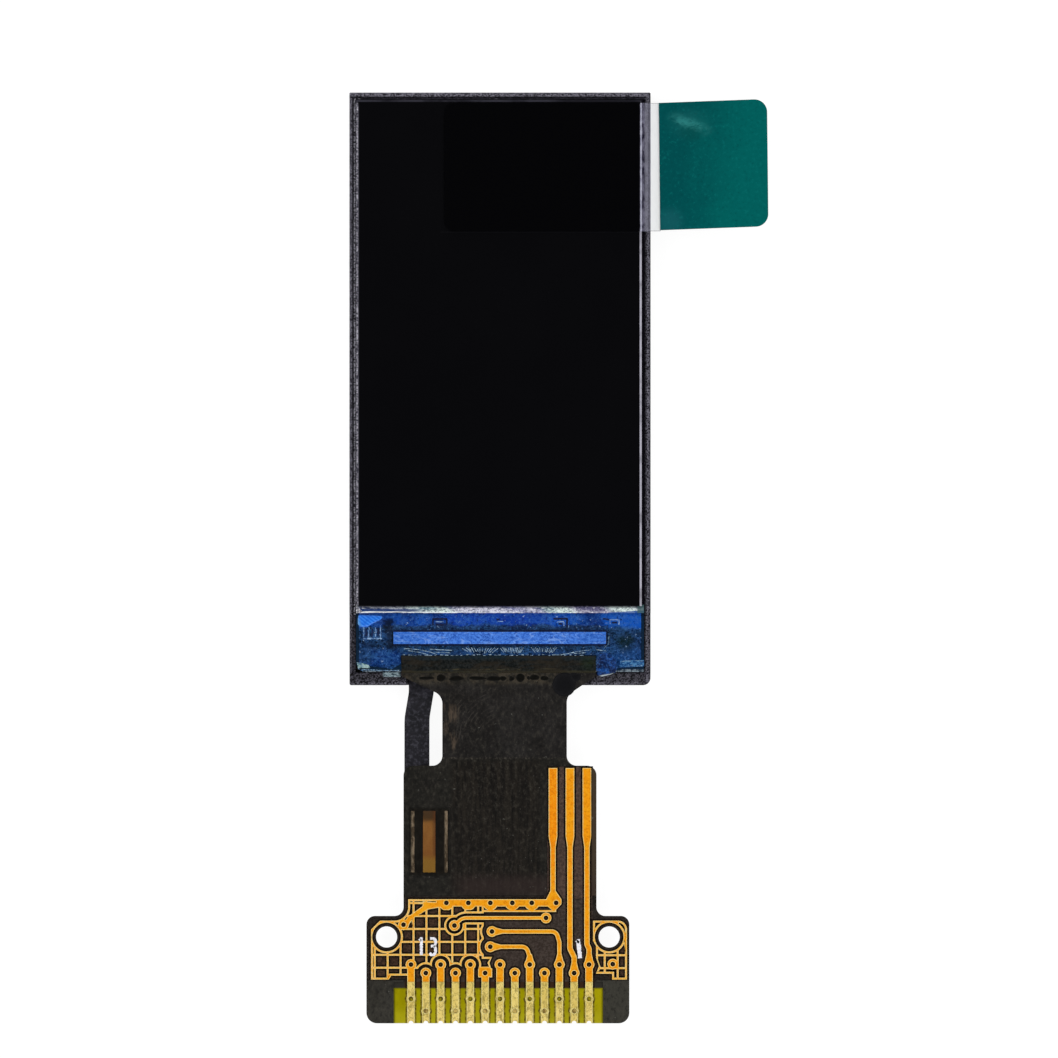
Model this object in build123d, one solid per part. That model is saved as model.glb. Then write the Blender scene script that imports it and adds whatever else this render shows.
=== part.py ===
from build123d import *
import os

# Module outline
module_width = 14.2
module_length = 27.95
frame_top_corner_radius = 0.06
frame_left_corner_radius = 0.08
frame_right_corner_radius = 0.35
frame_rear_chamfer = 0.06

# Thickness of each layer of the stack, from the rear face to the front
reflector_thickness = 0.08
light_guide_thickness = 0.45
diffuser_thickness = 0.05
prism_film_thickness = 0.06
rim_tape_thickness = 0.05
polarizer_thickness = 0.12
array_glass_thickness = 0.25
filter_glass_thickness = 0.25
protective_film_thickness = 0.05
tape_thickness = 0.05
grip_thickness = 0.06

# Frame walls, steps and pockets
side_glass_wall = 0.28
top_glass_wall = 0.31
bottom_bar = 0.60
light_wall = 0.75
reflector_wall = 0.45
rim_step_width = 0.12
rim_step_depth = 0.1
wall_below_screen = 0.12
ledge_wall_drop = 0.22
bar_below_glass = 0.08
glass_clearance = 0.03
film_clearance = 0.05

# Screen and glass
ledge_length = 2.78
glass_edge_strip = 0.33
polarizer_margin = 0.11
glass_corner_cut = 0.35
active_width = 10.8
active_length = 21.7
active_top_margin = 1.35
rim_tape_margin = 0.22

# Light source
led_width = 3.8
led_depth = 0.6
led_wall = 0.09
led_end_wall = 0.27
led_back_wall = 0.18
led_joint_length = 0.55
led_joint_height = 0.05
led_to_light_guide = 0.03
led_clearance = 0.06
strip_width = 11.2

# Driver chip and the resin around it
chip_length = 10.05
chip_width = 0.57
chip_height = 0.26
chip_from_filter_glass = 0.89
bond_film_thickness = 0.02
bond_film_margin = 0.04
sealant_thickness = 0.05
sealant_margin = 0.13
sealant_clearance = 0.03
sealant_corner_radius = 0.25
sealant_tongue = 0.42

# Main flex outline, from the glass to the solder edge
bond_width = 9.17
bond_overlap = 0.76
bond_shift = -0.065
shoulder_start = 0.2
shoulder_drop = 0.92
shoulder_radius = 0.6
shoulder_corner_radius = 0.15
neck_width = 5.87
neck_shift = 0.215
neck_length = 4.425
neck_radius = 0.47
body_width = 9.1
body_length = 7.09
body_corner_radius = 0.45
ear_length = 5.06
ear_shift = -0.1
ear_inner_radius = 0.42
ear_corner_radius = 0.4
ear_end_radius = 0.5

# Main flex layers
rear_coverlay_thickness = 0.03
base_film_thickness = 0.03
copper_thickness = 0.02
front_coverlay_thickness = 0.03
coverlay_from_glass = 0.05
front_window_length = 1.96
rear_window_length = 1.67
window_left_margin = 0.82
window_right_margin = 0.66

# Locating holes in the ears
locating_hole_spacing = 10.5
locating_hole_diameter = 1.0
locating_hole_from_edge = 4.07
locating_hole_land = 0.18
ear_beside_hole = 0.45

# Solder pins along the solder edge, with near and far rows of plated holes
pin_count = 13
pin_pitch = 0.7
pin_width = 0.35
ring_radius = 0.26
lower_ring_radius = 0.215
ring_hole_radius = 0.115
ring_sides = 12
near_upper_ring = 2.77
far_upper_ring = 2.37
near_lower_ring = 1.15
far_lower_ring = 0.58
edge_notch_radius = 0.12
notch_sides = 8

# Ground mesh
mesh_line_width = 0.09
mesh_pitch = 0.61
mesh_columns = 9
mesh_rows = 6
mesh_inset = 0.22
mesh_corner_cut = 0.42
mesh_ring_clearance = 0.16
mesh_via_clearance = 0.21
mesh_trace_clearance = 0.13
mesh_above_ears = 0.79
mesh_low_edge = 2.06
mesh_step_edge = 2.25
mesh_inner_edge = 2.57
mesh_lug_edge = 3.13
mesh_lug_width = 0.35
mesh_lug_waist = 0.08
right_mesh_width = 1.6
right_mesh_jog = 0.14
right_mesh_step = 0.7

# Ground bus with its vias, and the band from it to the left ear
bus_width = 0.34
bus_left_from_centre = 3.02
bus_right_from_centre = 2.9
bus_rail_below = 0.17
bus_lobe_radius = 0.36
bus_via_pitch = 1.037
bus_via_count = 4
bus_via_margin = 0.49
band_start_drop = 0.41

# Test pads and traces on the front of the flex
test_pad_width = 0.41
test_pad_pitch = 0.8
test_pad_length = 3.2
test_pad_taper = 0.55
test_pad_from_top = 0.11
test_pad_from_side = 2.05
wide_trace_width = 0.25
routed_trace_width = 0.2
sense_trace_width = 0.17
sense_length = 4.32
sense_drop = 0.09
sense_left = 2.15
teardrop_length = 0.5
jog_above_ring = 0.75
routed_drops = [0.73, 1.45]
routed_lefts = [0.38, 0.46]

# Tail of the backlight flex and its joint behind the main flex
tail_from_bond = 0.34
tail_width = 1.18
tail_thickness = 0.12
tail_shift = 0.2
tail_sway = 1.2
tail_notch_clearance = 0.12
tail_rise_start = 0.35
tail_rise_end = 0.5
tail_bend_radius = 4.0
tail_below_flex = 0.01
joint_drop = 2.13
joint_length = 2.9
joint_width = 0.45
joint_pitch = 0.6
joint_margin = 0.1
land_width = 0.58
land_shift = 0.58
side_land_width = 0.17
side_land_pitch = 1.57

# Glue spot on the shoulder of the flex
glue_radius = 0.52
glue_height = 0.1
glue_from_bond_side = 1.66
glue_below_glass = 0.6

# Tape on the screen with its grip
tape_on_screen = 9.45
tape_from_screen_top = 0.05
tape_height = 6.05
tape_corner_radius = 0.5
tape_past_frame = 0.45
grip_overlap = 0.8
grip_length = 5.1
grip_height = 6.0
grip_rise = 0.19
grip_lean = 0.065
grip_corner_radius = 0.6

# Heights worked out from the layers
light_guide_z = reflector_thickness
diffuser_z = light_guide_z + light_guide_thickness
lower_prism_z = diffuser_z + diffuser_thickness
upper_prism_z = lower_prism_z + prism_film_thickness
shelf_z = upper_prism_z + prism_film_thickness
rear_polarizer_z = shelf_z + rim_tape_thickness
array_glass_z = rear_polarizer_z + polarizer_thickness
ledge_z = array_glass_z + array_glass_thickness
front_polarizer_z = ledge_z + filter_glass_thickness
screen_z = front_polarizer_z + polarizer_thickness
tape_z = screen_z + protective_film_thickness
grip_z = tape_z + tape_thickness
wall_z = screen_z - wall_below_screen
ledge_wall_z = wall_z - ledge_wall_drop
bar_z = ledge_z - bar_below_glass
strip_z = shelf_z - tail_thickness
led_height = strip_z - led_joint_height - light_guide_z
rear_coverlay_z = ledge_z
base_film_z = rear_coverlay_z + rear_coverlay_thickness
copper_z = base_film_z + base_film_thickness
front_coverlay_z = copper_z + copper_thickness
flex_top_z = front_coverlay_z + front_coverlay_thickness
tail_top_z = rear_coverlay_z - tail_below_flex

# Places worked out from the module outline
module_top = module_length / 2
module_bottom = -module_length / 2
glass_pocket_half = module_width / 2 - side_glass_wall
glass_pocket_top = module_top - top_glass_wall
glass_pocket_bottom = module_bottom + bottom_bar
glass_half = glass_pocket_half - glass_clearance
glass_top = glass_pocket_top - glass_clearance
glass_bottom = glass_pocket_bottom + glass_clearance
filter_glass_bottom = glass_bottom + ledge_length
polarizer_half = glass_half - polarizer_margin
polarizer_top = glass_top - polarizer_margin
polarizer_bottom = filter_glass_bottom + glass_edge_strip
light_pocket_half = module_width / 2 - light_wall
light_pocket_top = module_top - light_wall
light_half = light_pocket_half - film_clearance
light_top = light_pocket_top - film_clearance
light_bottom = filter_glass_bottom - film_clearance
led_top = light_bottom - led_to_light_guide
led_bottom = led_top - led_depth
strip_top = light_bottom - film_clearance
strip_bottom = glass_pocket_bottom + film_clearance
active_top = glass_top - active_top_margin
active_bottom = active_top - active_length

# Places worked out from the flex outline
bond_left = bond_shift - bond_width / 2
bond_right = bond_shift + bond_width / 2
bond_top = glass_bottom + bond_overlap
shoulder_y = glass_bottom - shoulder_start
neck_left = neck_shift - neck_width / 2
neck_right = neck_shift + neck_width / 2
neck_end_y = glass_bottom - neck_length
body_left = -body_width / 2
body_right = body_width / 2
ear_top_y = neck_end_y - body_length
ear_width = locating_hole_spacing + locating_hole_diameter + 2 * ear_beside_hole
ear_left = ear_shift - ear_width / 2
ear_right = ear_shift + ear_width / 2
solder_edge_y = ear_top_y - ear_length
coverlay_top_y = glass_bottom - coverlay_from_glass
chip_y = filter_glass_bottom - chip_from_filter_glass - chip_width / 2

# Places worked out for the holes, the copper and the tail
locating_hole_radius = locating_hole_diameter / 2
locating_hole_y = solder_edge_y + locating_hole_from_edge
left_hole = (ear_shift - locating_hole_spacing / 2, locating_hole_y)
right_hole = (ear_shift + locating_hole_spacing / 2, locating_hole_y)
hole_gap_radius = locating_hole_radius + locating_hole_land
first_pin_x = -(pin_count - 1) / 2 * pin_pitch
window_left = first_pin_x - window_left_margin
window_right = -first_pin_x + window_right_margin
mesh_top_y = ear_top_y + mesh_above_ears
mesh_low_y = solder_edge_y + mesh_low_edge
mesh_step_y = solder_edge_y + mesh_step_edge
mesh_inner_y = solder_edge_y + mesh_inner_edge
mesh_lug_y = solder_edge_y + mesh_lug_edge
bus_left = -bus_left_from_centre
bus_right = bus_right_from_centre
bus_top_y = mesh_top_y
bus_y = bus_top_y - bus_width / 2
bus_bottom_y = bus_top_y - bus_width
bus_rail_y = bus_bottom_y - bus_rail_below
band_start = (body_left, ear_top_y - band_start_drop)
end_via = (bus_right - 0.25, bus_y)
test_pad_top_y = neck_end_y - test_pad_from_top
test_pad_end_y = test_pad_top_y - test_pad_length
first_test_pad_x = body_right - test_pad_from_side
sense_y = ear_top_y - sense_drop
sense_start = (-sense_left, sense_y - 0.36)
sense_end = (sense_length - sense_left, sense_y)
tail_left = bond_left + tail_from_bond
tail_right = tail_left + tail_width
joint_x = (tail_left + tail_right) / 2 - tail_shift
joint_top_y = neck_end_y - joint_drop
joint_bottom_y = joint_top_y - joint_length
tail_end_y = joint_bottom_y - joint_margin


def rectangle_between(left, right, bottom, top):
    centre = Pos((left + right) / 2, (bottom + top) / 2)
    return centre * Rectangle(right - left, top - bottom)


def plate(outline, bottom, thickness):
    return extrude(Pos(0, 0, bottom) * outline, amount=thickness)


def rounded_outline(corners):
    points = [(x, y) for x, y, radius in corners]
    radii = [radius for x, y, radius in corners]
    return make_face(FilletPolyline(points, radius=radii, close=True).edges())


def straight_outline(corners):
    return make_face(Polyline(corners, close=True).edges())


def disc(place, radius):
    return Pos(place[0], place[1]) * Circle(radius)


def ring_disc(place, radius):
    # Small plated rings and holes are twelve-sided to keep their faces few
    return Pos(place[0], place[1]) * RegularPolygon(radius, ring_sides)


def track(points, width, radius):
    return trace(FilletPolyline(points, radius=radius), width)


def save(name, shape):
    export_step(shape, os.path.join("parts", name + ".step"))


# Moulded backlight frame


def frame_outline():
    half = module_width / 2
    corners = [
        (-half, module_bottom, frame_left_corner_radius),
        (half, module_bottom, frame_right_corner_radius),
        (half, module_top, frame_top_corner_radius),
        (-half, module_top, frame_top_corner_radius),
    ]
    return rounded_outline(corners)


def reflector_outline(margin):
    half = module_width / 2 - reflector_wall + margin
    bottom = module_bottom + reflector_wall - margin
    top = module_top - reflector_wall + margin
    return rectangle_between(-half, half, bottom, top)


def frame_pockets():
    led_half = led_width / 2 + led_clearance
    strip_half = strip_width / 2 + film_clearance
    glass = rectangle_between(
        -glass_pocket_half, glass_pocket_half, glass_pocket_bottom, glass_pocket_top
    )
    light = rectangle_between(
        -light_pocket_half, light_pocket_half, light_bottom - film_clearance, light_pocket_top
    )
    led = rectangle_between(-led_half, led_half, led_bottom - led_clearance, light_bottom)
    strip = rectangle_between(-strip_half, strip_half, glass_pocket_bottom, light_bottom)
    return [
        plate(glass, shelf_z, wall_z),
        plate(light, 0, wall_z),
        plate(led, 0, wall_z),
        plate(strip, strip_z, wall_z),
        plate(reflector_outline(film_clearance), 0, reflector_thickness),
    ]


def frame_steps():
    rim = rectangle_between(
        -glass_pocket_half - rim_step_width,
        glass_pocket_half + rim_step_width,
        filter_glass_bottom,
        glass_pocket_top + rim_step_width,
    )
    ledge = rectangle_between(-module_width, module_width, module_bottom - 1, filter_glass_bottom)
    bar = rectangle_between(-module_width, module_width, module_bottom - 1, glass_pocket_bottom)
    tail_notch = rectangle_between(
        tail_left - tail_notch_clearance,
        tail_right + tail_notch_clearance,
        module_bottom - 1,
        glass_pocket_bottom,
    )
    return [
        plate(rim, wall_z - rim_step_depth, wall_z),
        plate(ledge, ledge_wall_z, wall_z),
        plate(bar, bar_z, wall_z),
        plate(tail_notch, strip_z, wall_z),
    ]


def make_frame():
    block = plate(frame_outline(), 0, wall_z)
    rear_edges = block.edges().group_by(Axis.Z)[0]
    return chamfer(rear_edges, frame_rear_chamfer) - frame_pockets() - frame_steps()


# Reflector, light guide and films under the glass


def make_reflector():
    return plate(reflector_outline(0), 0, reflector_thickness)


def make_light_sheet(bottom, thickness):
    outline = rectangle_between(-light_half, light_half, light_bottom, light_top)
    return plate(outline, bottom, thickness)


def make_rim_tape():
    half = active_width / 2 + rim_tape_margin
    outer = rectangle_between(-glass_half, glass_half, glass_bottom, glass_top)
    window = rectangle_between(
        -half, half, active_bottom - rim_tape_margin, active_top + rim_tape_margin
    )
    return plate(outer - window, shelf_z, rim_tape_thickness)


# Light source at the lower end of the light guide


def make_led_phosphor():
    half = led_width / 2 - led_end_wall
    outline = rectangle_between(-half, half, led_bottom + led_back_wall, led_top)
    return plate(outline, light_guide_z + led_wall, led_height - 2 * led_wall)


def make_led_housing():
    outline = rectangle_between(-led_width / 2, led_width / 2, led_bottom, led_top)
    return plate(outline, light_guide_z, led_height) - make_led_phosphor()


def make_led_joint(side):
    centre_x = side * (led_width - led_joint_length) / 2
    half = led_joint_length / 2
    outline = rectangle_between(centre_x - half, centre_x + half, led_bottom, led_top)
    return plate(outline, light_guide_z + led_height, led_joint_height)


# Flex of the light source, with the tail that rises to the main flex


def tail_outline():
    start_y = module_bottom - tail_rise_start
    sway_y = start_y - tail_sway
    corners = [
        (tail_left, strip_top, 0),
        (tail_left, start_y, tail_sway),
        (tail_left - tail_shift, sway_y, 2 * tail_sway),
        (tail_left - tail_shift, tail_end_y, joint_margin),
        (tail_right - tail_shift, tail_end_y, joint_margin),
        (tail_right - tail_shift, sway_y, 2 * tail_sway),
        (tail_right, start_y, tail_sway),
        (tail_right, strip_top, 0),
    ]
    return rounded_outline(corners)


def tail_profile():
    low_y = module_bottom - tail_rise_start
    high_y = neck_end_y + tail_rise_end
    high_z = tail_top_z - tail_thickness
    corners = [
        (tail_end_y - 1, high_z, 0),
        (high_y, high_z, tail_bend_radius),
        (low_y, strip_z, tail_bend_radius),
        (strip_top + 1, strip_z, 0),
        (strip_top + 1, strip_z + tail_thickness, 0),
        (low_y, strip_z + tail_thickness, tail_bend_radius),
        (high_y, tail_top_z, tail_bend_radius),
        (tail_end_y - 1, tail_top_z, 0),
    ]
    return Plane.YZ * rounded_outline(corners)


def make_backlight_flex():
    strip = rectangle_between(-strip_width / 2, strip_width / 2, strip_bottom, strip_top)
    slab = extrude(tail_profile(), amount=module_width, both=True)
    return slab & plate(strip + tail_outline(), 0, screen_z)


# Glass and polarizers


def make_array_glass():
    corners = [
        (-glass_half, glass_bottom + glass_corner_cut),
        (-glass_half + glass_corner_cut, glass_bottom),
        (glass_half, glass_bottom),
        (glass_half, glass_top),
        (-glass_half, glass_top),
    ]
    return plate(straight_outline(corners), array_glass_z, array_glass_thickness)


def make_filter_glass():
    outline = rectangle_between(-glass_half, glass_half, filter_glass_bottom, glass_top)
    return plate(outline, ledge_z, filter_glass_thickness)


def make_screen_sheet(bottom, thickness):
    outline = rectangle_between(-polarizer_half, polarizer_half, polarizer_bottom, polarizer_top)
    return plate(outline, bottom, thickness)


# Driver chip and resin on the ledge


def chip_outline(margin):
    half = chip_length / 2 + margin
    reach = chip_width / 2 + margin
    return rectangle_between(-half, half, chip_y - reach, chip_y + reach)


def make_chip_bond_film():
    return plate(chip_outline(bond_film_margin), ledge_z, bond_film_thickness)


def make_driver_chip():
    return plate(chip_outline(0), ledge_z + bond_film_thickness, chip_height)


def make_sealant():
    half = glass_half - sealant_margin
    inner_left = bond_left - sealant_clearance
    inner_right = bond_right + sealant_clearance
    corners = [
        (-half, glass_bottom + glass_corner_cut, sealant_corner_radius),
        (inner_left - sealant_tongue, glass_bottom + sealant_margin, sealant_corner_radius),
        (inner_left, glass_bottom + bond_overlap / 2, 0),
        (inner_left, bond_top + sealant_clearance, 0),
        (inner_right, bond_top + sealant_clearance, 0),
        (inner_right, glass_bottom + bond_overlap / 2, 0),
        (inner_right + sealant_tongue, glass_bottom + sealant_margin, sealant_corner_radius),
        (half, glass_bottom + 2 * sealant_margin, sealant_corner_radius),
        (half, filter_glass_bottom, 0),
        (-half, filter_glass_bottom, 0),
    ]
    outline = rounded_outline(corners) - chip_outline(bond_film_margin)
    return plate(outline, ledge_z, sealant_thickness)


# Films of the main flex


def make_flex_bond_film():
    outline = rectangle_between(bond_left, bond_right, glass_bottom, bond_top)
    return plate(outline, ledge_z, rear_coverlay_thickness)


def flex_outline():
    corners = [
        (bond_left, bond_top, 0),
        (bond_left, shoulder_y, shoulder_corner_radius),
        (neck_left, shoulder_y - shoulder_drop, shoulder_radius),
        (neck_left, neck_end_y, neck_radius),
        (body_left, neck_end_y, body_corner_radius),
        (body_left, ear_top_y, ear_inner_radius),
        (ear_left, ear_top_y, ear_corner_radius),
        (ear_left, solder_edge_y, ear_end_radius),
        (ear_right, solder_edge_y, ear_end_radius),
        (ear_right, ear_top_y, ear_corner_radius),
        (body_right, ear_top_y, ear_inner_radius),
        (body_right, neck_end_y, body_corner_radius),
        (neck_right, neck_end_y, neck_radius),
        (neck_right, shoulder_y - shoulder_drop, shoulder_radius),
        (bond_right, shoulder_y, shoulder_corner_radius),
        (bond_right, bond_top, 0),
    ]
    holes = [disc(left_hole, locating_hole_radius), disc(right_hole, locating_hole_radius)]
    return rounded_outline(corners) - holes


def coverlay_outline(window_length):
    covered = rectangle_between(-ear_width, ear_width, solder_edge_y, coverlay_top_y)
    window = rectangle_between(
        window_left, window_right, solder_edge_y - 1, solder_edge_y + window_length
    )
    return (flex_outline() & covered) - window


def edge_notch(index):
    notch = RegularPolygon(edge_notch_radius, notch_sides)
    return Pos(pin_x(index), solder_edge_y) * notch


def make_base_film():
    notches = [edge_notch(index) for index in range(pin_count)]
    return plate(flex_outline() - notches, base_film_z, base_film_thickness)


def make_rear_coverlay():
    half = joint_pitch / 2 + joint_width / 2 + joint_margin
    opening = rectangle_between(
        joint_x - half, joint_x + half, joint_bottom_y - joint_margin, joint_top_y + joint_margin
    )
    outline = coverlay_outline(rear_window_length) - opening
    return plate(outline, rear_coverlay_z, rear_coverlay_thickness)


def make_front_coverlay():
    return plate(
        coverlay_outline(front_window_length), front_coverlay_z, front_coverlay_thickness
    )


# Pins on the front of the flex


def pin_x(index):
    return first_pin_x + index * pin_pitch


def upper_ring(index):
    height = near_upper_ring if index % 2 == 0 else far_upper_ring
    return (pin_x(index), solder_edge_y + height)


def lower_ring(index):
    height = near_lower_ring if index % 2 == 0 else far_lower_ring
    return (pin_x(index), solder_edge_y + height)


def pin_blank(index):
    x = pin_x(index)
    half = pin_width / 2
    finger = rectangle_between(x - half, x + half, solder_edge_y, upper_ring(index)[1])
    upper = ring_disc(upper_ring(index), ring_radius)
    lower = ring_disc(lower_ring(index), lower_ring_radius)
    return finger + [upper, lower]


def pin_holes(index):
    upper = ring_disc(upper_ring(index), ring_hole_radius)
    lower = ring_disc(lower_ring(index), ring_hole_radius)
    return [upper, lower, edge_notch(index)]


def teardrop(ring, angle, width):
    reach = ring_radius * 0.9
    corners = [
        (0, reach),
        (0, -reach),
        (teardrop_length, -width / 2),
        (teardrop_length, width / 2),
    ]
    return Pos(ring[0], ring[1]) * Rot(0, 0, angle) * straight_outline(corners)


def make_pin(index):
    return plate(pin_blank(index) - pin_holes(index), copper_z, copper_thickness)


# Pins with traces to the test pads or to a plated hole


def test_pad_x(order):
    return first_test_pad_x + order * test_pad_pitch


def test_pad(order):
    x = test_pad_x(order)
    half = test_pad_width / 2
    narrow = wide_trace_width / 2
    corners = [
        (x - narrow, test_pad_end_y - test_pad_taper),
        (x + narrow, test_pad_end_y - test_pad_taper),
        (x + half, test_pad_end_y),
        (x + half, test_pad_top_y),
        (x - half, test_pad_top_y),
        (x - half, test_pad_end_y),
    ]
    return straight_outline(corners)


def make_test_pad_pin(order, index):
    x = test_pad_x(order)
    end = upper_ring(index)
    jog_y = end[1] + jog_above_ring
    points = [
        (x, test_pad_end_y - test_pad_taper / 2),
        (x, jog_y + 2 * abs(end[0] - x)),
        (end[0], jog_y),
        end,
    ]
    line = track(points, wide_trace_width, wide_trace_width)
    shape = test_pad(order) + [line, pin_blank(index), teardrop(end, 90, wide_trace_width)]
    return plate(shape - pin_holes(index), copper_z, copper_thickness)


def routed_start(order):
    return (-routed_lefts[order], ear_top_y - routed_drops[order])


def make_routed_pin(index, order):
    start = routed_start(order)
    end = upper_ring(index)
    corner_cut = 0.75 * routed_trace_width
    points = [
        start,
        (end[0] - corner_cut, start[1]),
        (end[0], start[1] - 2.5 * routed_trace_width),
        end,
    ]
    line = track(points, routed_trace_width, 1.5 * routed_trace_width)
    drops = [teardrop(start, 0, routed_trace_width), teardrop(end, 90, routed_trace_width)]
    shape = pin_blank(index) + [line, ring_disc(start, ring_radius)] + drops
    shape = shape - pin_holes(index) - ring_disc(start, ring_hole_radius)
    return plate(shape, copper_z, copper_thickness)


# Sense trace between two plated holes, with a clear margin in the mesh


def sense_track(margin):
    rise = sense_y - sense_start[1]
    points = [sense_start, (sense_start[0] + rise, sense_y), sense_end]
    return track(points, sense_trace_width + 2 * margin, 0.5)


def make_sense_trace():
    rings = [ring_disc(sense_start, ring_radius), ring_disc(sense_end, ring_radius)]
    holes = [ring_disc(sense_start, ring_hole_radius), ring_disc(sense_end, ring_hole_radius)]
    return plate(sense_track(0) + rings - holes, copper_z, copper_thickness)


def sense_gap(margin):
    gap = ring_radius + margin
    return sense_track(margin) + [disc(sense_start, gap), disc(sense_end, gap)]


# Ground copper, one piece from the left mesh to the first test pad


def bus_vias():
    first_x = bus_left + bus_via_margin
    regular = [(first_x + step * bus_via_pitch, bus_y) for step in range(bus_via_count)]
    return regular + [(bus_right - 1.4, bus_y), end_via]


def bus_shape():
    x = test_pad_x(0)
    narrow = wide_trace_width / 2
    bar = rectangle_between(bus_left, bus_right - 0.4, bus_bottom_y, bus_top_y)
    lower_side = rectangle_between(bus_left, bus_right, bus_rail_y, bus_y)
    lobes = Sketch() + [disc(place, bus_lobe_radius) for place in bus_vias()[:-1]]
    end_lobe = straight_outline(
        [
            (bus_right - 0.65, bus_bottom_y),
            (bus_right - 0.35, bus_rail_y - mesh_line_width),
            (bus_right, bus_y - 0.05),
            (bus_right, bus_top_y),
            (x + narrow, bus_top_y + 0.4),
            (x - narrow, bus_top_y + 0.4),
            (x - 0.35, bus_top_y - 0.05),
        ]
    )
    rail = rectangle_between(
        mesh_right_x() - mesh_line_width / 2, end_via[0], bus_rail_y - mesh_line_width, bus_rail_y
    )
    run = rectangle_between(x - narrow, x + narrow, bus_y, test_pad_end_y - test_pad_taper / 2)
    return bar + [lobes & lower_side, end_lobe, rail, run, test_pad(0)]


def band_shape():
    x, y = band_start
    width = wide_trace_width
    corners = [
        (x - width / 2, y - width / 2, 0),
        (x + 0.7 * width, y - width / 2, 0),
        (x + 1.8 * width, y + 1.2 * width, 0.2),
        (bus_left - 1.6 * width, bus_bottom_y - 0.6 * width, 0.3),
        (bus_left + 1.6 * width, bus_bottom_y, 0),
        (bus_left + 1.6 * width, bus_y, 0),
        (bus_left - 2.5 * width, bus_top_y - 0.4 * width, 0),
        (bus_left - 2.5 * width, bus_y - 0.6 * width, 0.1),
        (x + 0.8 * width, y + 1.5 * width, 0.15),
    ]
    return rounded_outline(corners) + ring_disc(band_start, ring_radius)


def mesh_right_x():
    return pin_x(5) - 0.07


def left_mesh_region(margin):
    inset = mesh_inset + margin
    cut = mesh_corner_cut
    left = ear_left + inset
    step_x = left_hole[0] + 0.1 - margin
    right = mesh_right_x() - margin
    lug_right = mesh_right_x() + mesh_lug_width - margin
    corners = [
        (left, mesh_low_y + margin, 0),
        (step_x, mesh_low_y + margin, 0),
        (step_x + 0.12, mesh_step_y + margin, 0),
        (pin_x(0), mesh_step_y + margin, 0),
        (pin_x(0), mesh_inner_y + margin, 0),
        (lug_right, mesh_inner_y + margin, 0),
        (lug_right - mesh_lug_waist, (mesh_inner_y + mesh_lug_y) / 2, 0),
        (lug_right + mesh_lug_waist / 2, mesh_lug_y - margin, 0),
        (right, mesh_lug_y - margin, 0),
        (right, mesh_top_y - margin, 0),
        (body_left + inset, mesh_top_y - margin, 0),
        (body_left + inset, ear_top_y - inset, ear_inner_radius + inset),
        (left + cut, ear_top_y - inset, 0),
        (left, ear_top_y - inset - cut, 0),
    ]
    ring_gap = ring_radius + mesh_ring_clearance + margin
    gaps = [disc(upper_ring(index), ring_gap) for index in range(1, 5)]
    via_gap = ring_radius + mesh_via_clearance + margin
    gaps.append(disc(routed_start(0), via_gap))
    gaps.append(disc(routed_start(1), via_gap))
    gaps.append(disc(left_hole, hole_gap_radius + margin))
    return rounded_outline(corners) - gaps - sense_gap(mesh_trace_clearance + margin)


def left_mesh_lines():
    half = mesh_line_width / 2
    first_x = ear_left + mesh_inset + 0.17
    first_y = mesh_top_y - 0.18
    lines = []
    for step in range(mesh_columns):
        x = first_x + step * mesh_pitch
        lines.append(rectangle_between(x - half, x + half, mesh_low_y, mesh_top_y))
    for step in range(mesh_rows):
        y = first_y - step * mesh_pitch
        lines.append(rectangle_between(ear_left, body_right, y - half, y + half))
    return Sketch() + lines


def make_ground_copper():
    region = left_mesh_region(0)
    border = region - left_mesh_region(mesh_line_width)
    mesh = border + (left_mesh_lines() & region)
    pad_x, pad_y = upper_ring(5)
    pad_half = 0.33
    square = rectangle_between(pad_x - pad_half, pad_x + pad_half, pad_y - 0.2, mesh_inner_y + 0.02)
    shape = mesh + bus_shape() + [band_shape(), pin_blank(0), pin_blank(5), square]
    vias = bus_vias() + [band_start]
    holes = [ring_disc(place, ring_hole_radius) for place in vias]
    shape = shape - holes - pin_holes(0) - pin_holes(5)
    return plate(shape, copper_z, copper_thickness)


# Ground copper on the right ear


def right_mesh_region(margin):
    edge = ear_right - mesh_inset / 2
    right = edge - margin
    left = edge - right_mesh_width + margin
    top = ear_top_y - mesh_inset - margin
    inner = left + right_mesh_jog
    step_y = mesh_step_y + mesh_line_width
    step_x = edge - right_mesh_step + margin
    corners = [
        (inner, step_y + margin, 0),
        (step_x, step_y + margin, 0),
        (step_x, mesh_low_y + margin, 0),
        (right, mesh_low_y + margin, 0),
        (right, top, mesh_corner_cut - margin),
        (left, top, 0),
        (left, top - 0.95, 0),
        (inner, top - 1.2, 0),
        (inner, top - 1.75, 0),
        (inner + right_mesh_jog, top - 2.15, 0),
    ]
    return rounded_outline(corners) - disc(right_hole, hole_gap_radius + margin)


def make_right_mesh():
    region = right_mesh_region(0)
    border = region - right_mesh_region(mesh_line_width)
    half = mesh_line_width / 2
    first_x = ear_right - mesh_inset / 2 - right_mesh_width + 0.55
    first_y = mesh_step_y + 0.96
    lines = []
    for step in range(2):
        x = first_x + step * mesh_pitch
        y = first_y - step * mesh_pitch
        lines.append(rectangle_between(x - half, x + half, mesh_low_y, ear_top_y))
        lines.append(rectangle_between(body_right - 1, ear_right, y - half, y + half))
    via = (first_x + 0.38, first_y - 0.42)
    shape = border + ((Sketch() + lines) & region) + ring_disc(via, ring_radius)
    return plate(shape - ring_disc(via, ring_hole_radius), copper_z, copper_thickness)


# Joint between the tail and the main flex


def joint_outline(order):
    centre_x = joint_x + (order - 0.5) * joint_pitch
    half = joint_width / 2
    return rectangle_between(centre_x - half, centre_x + half, joint_bottom_y, joint_top_y)


def make_joint_pad(order):
    return plate(joint_outline(order), base_film_z - copper_thickness, copper_thickness)


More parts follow.
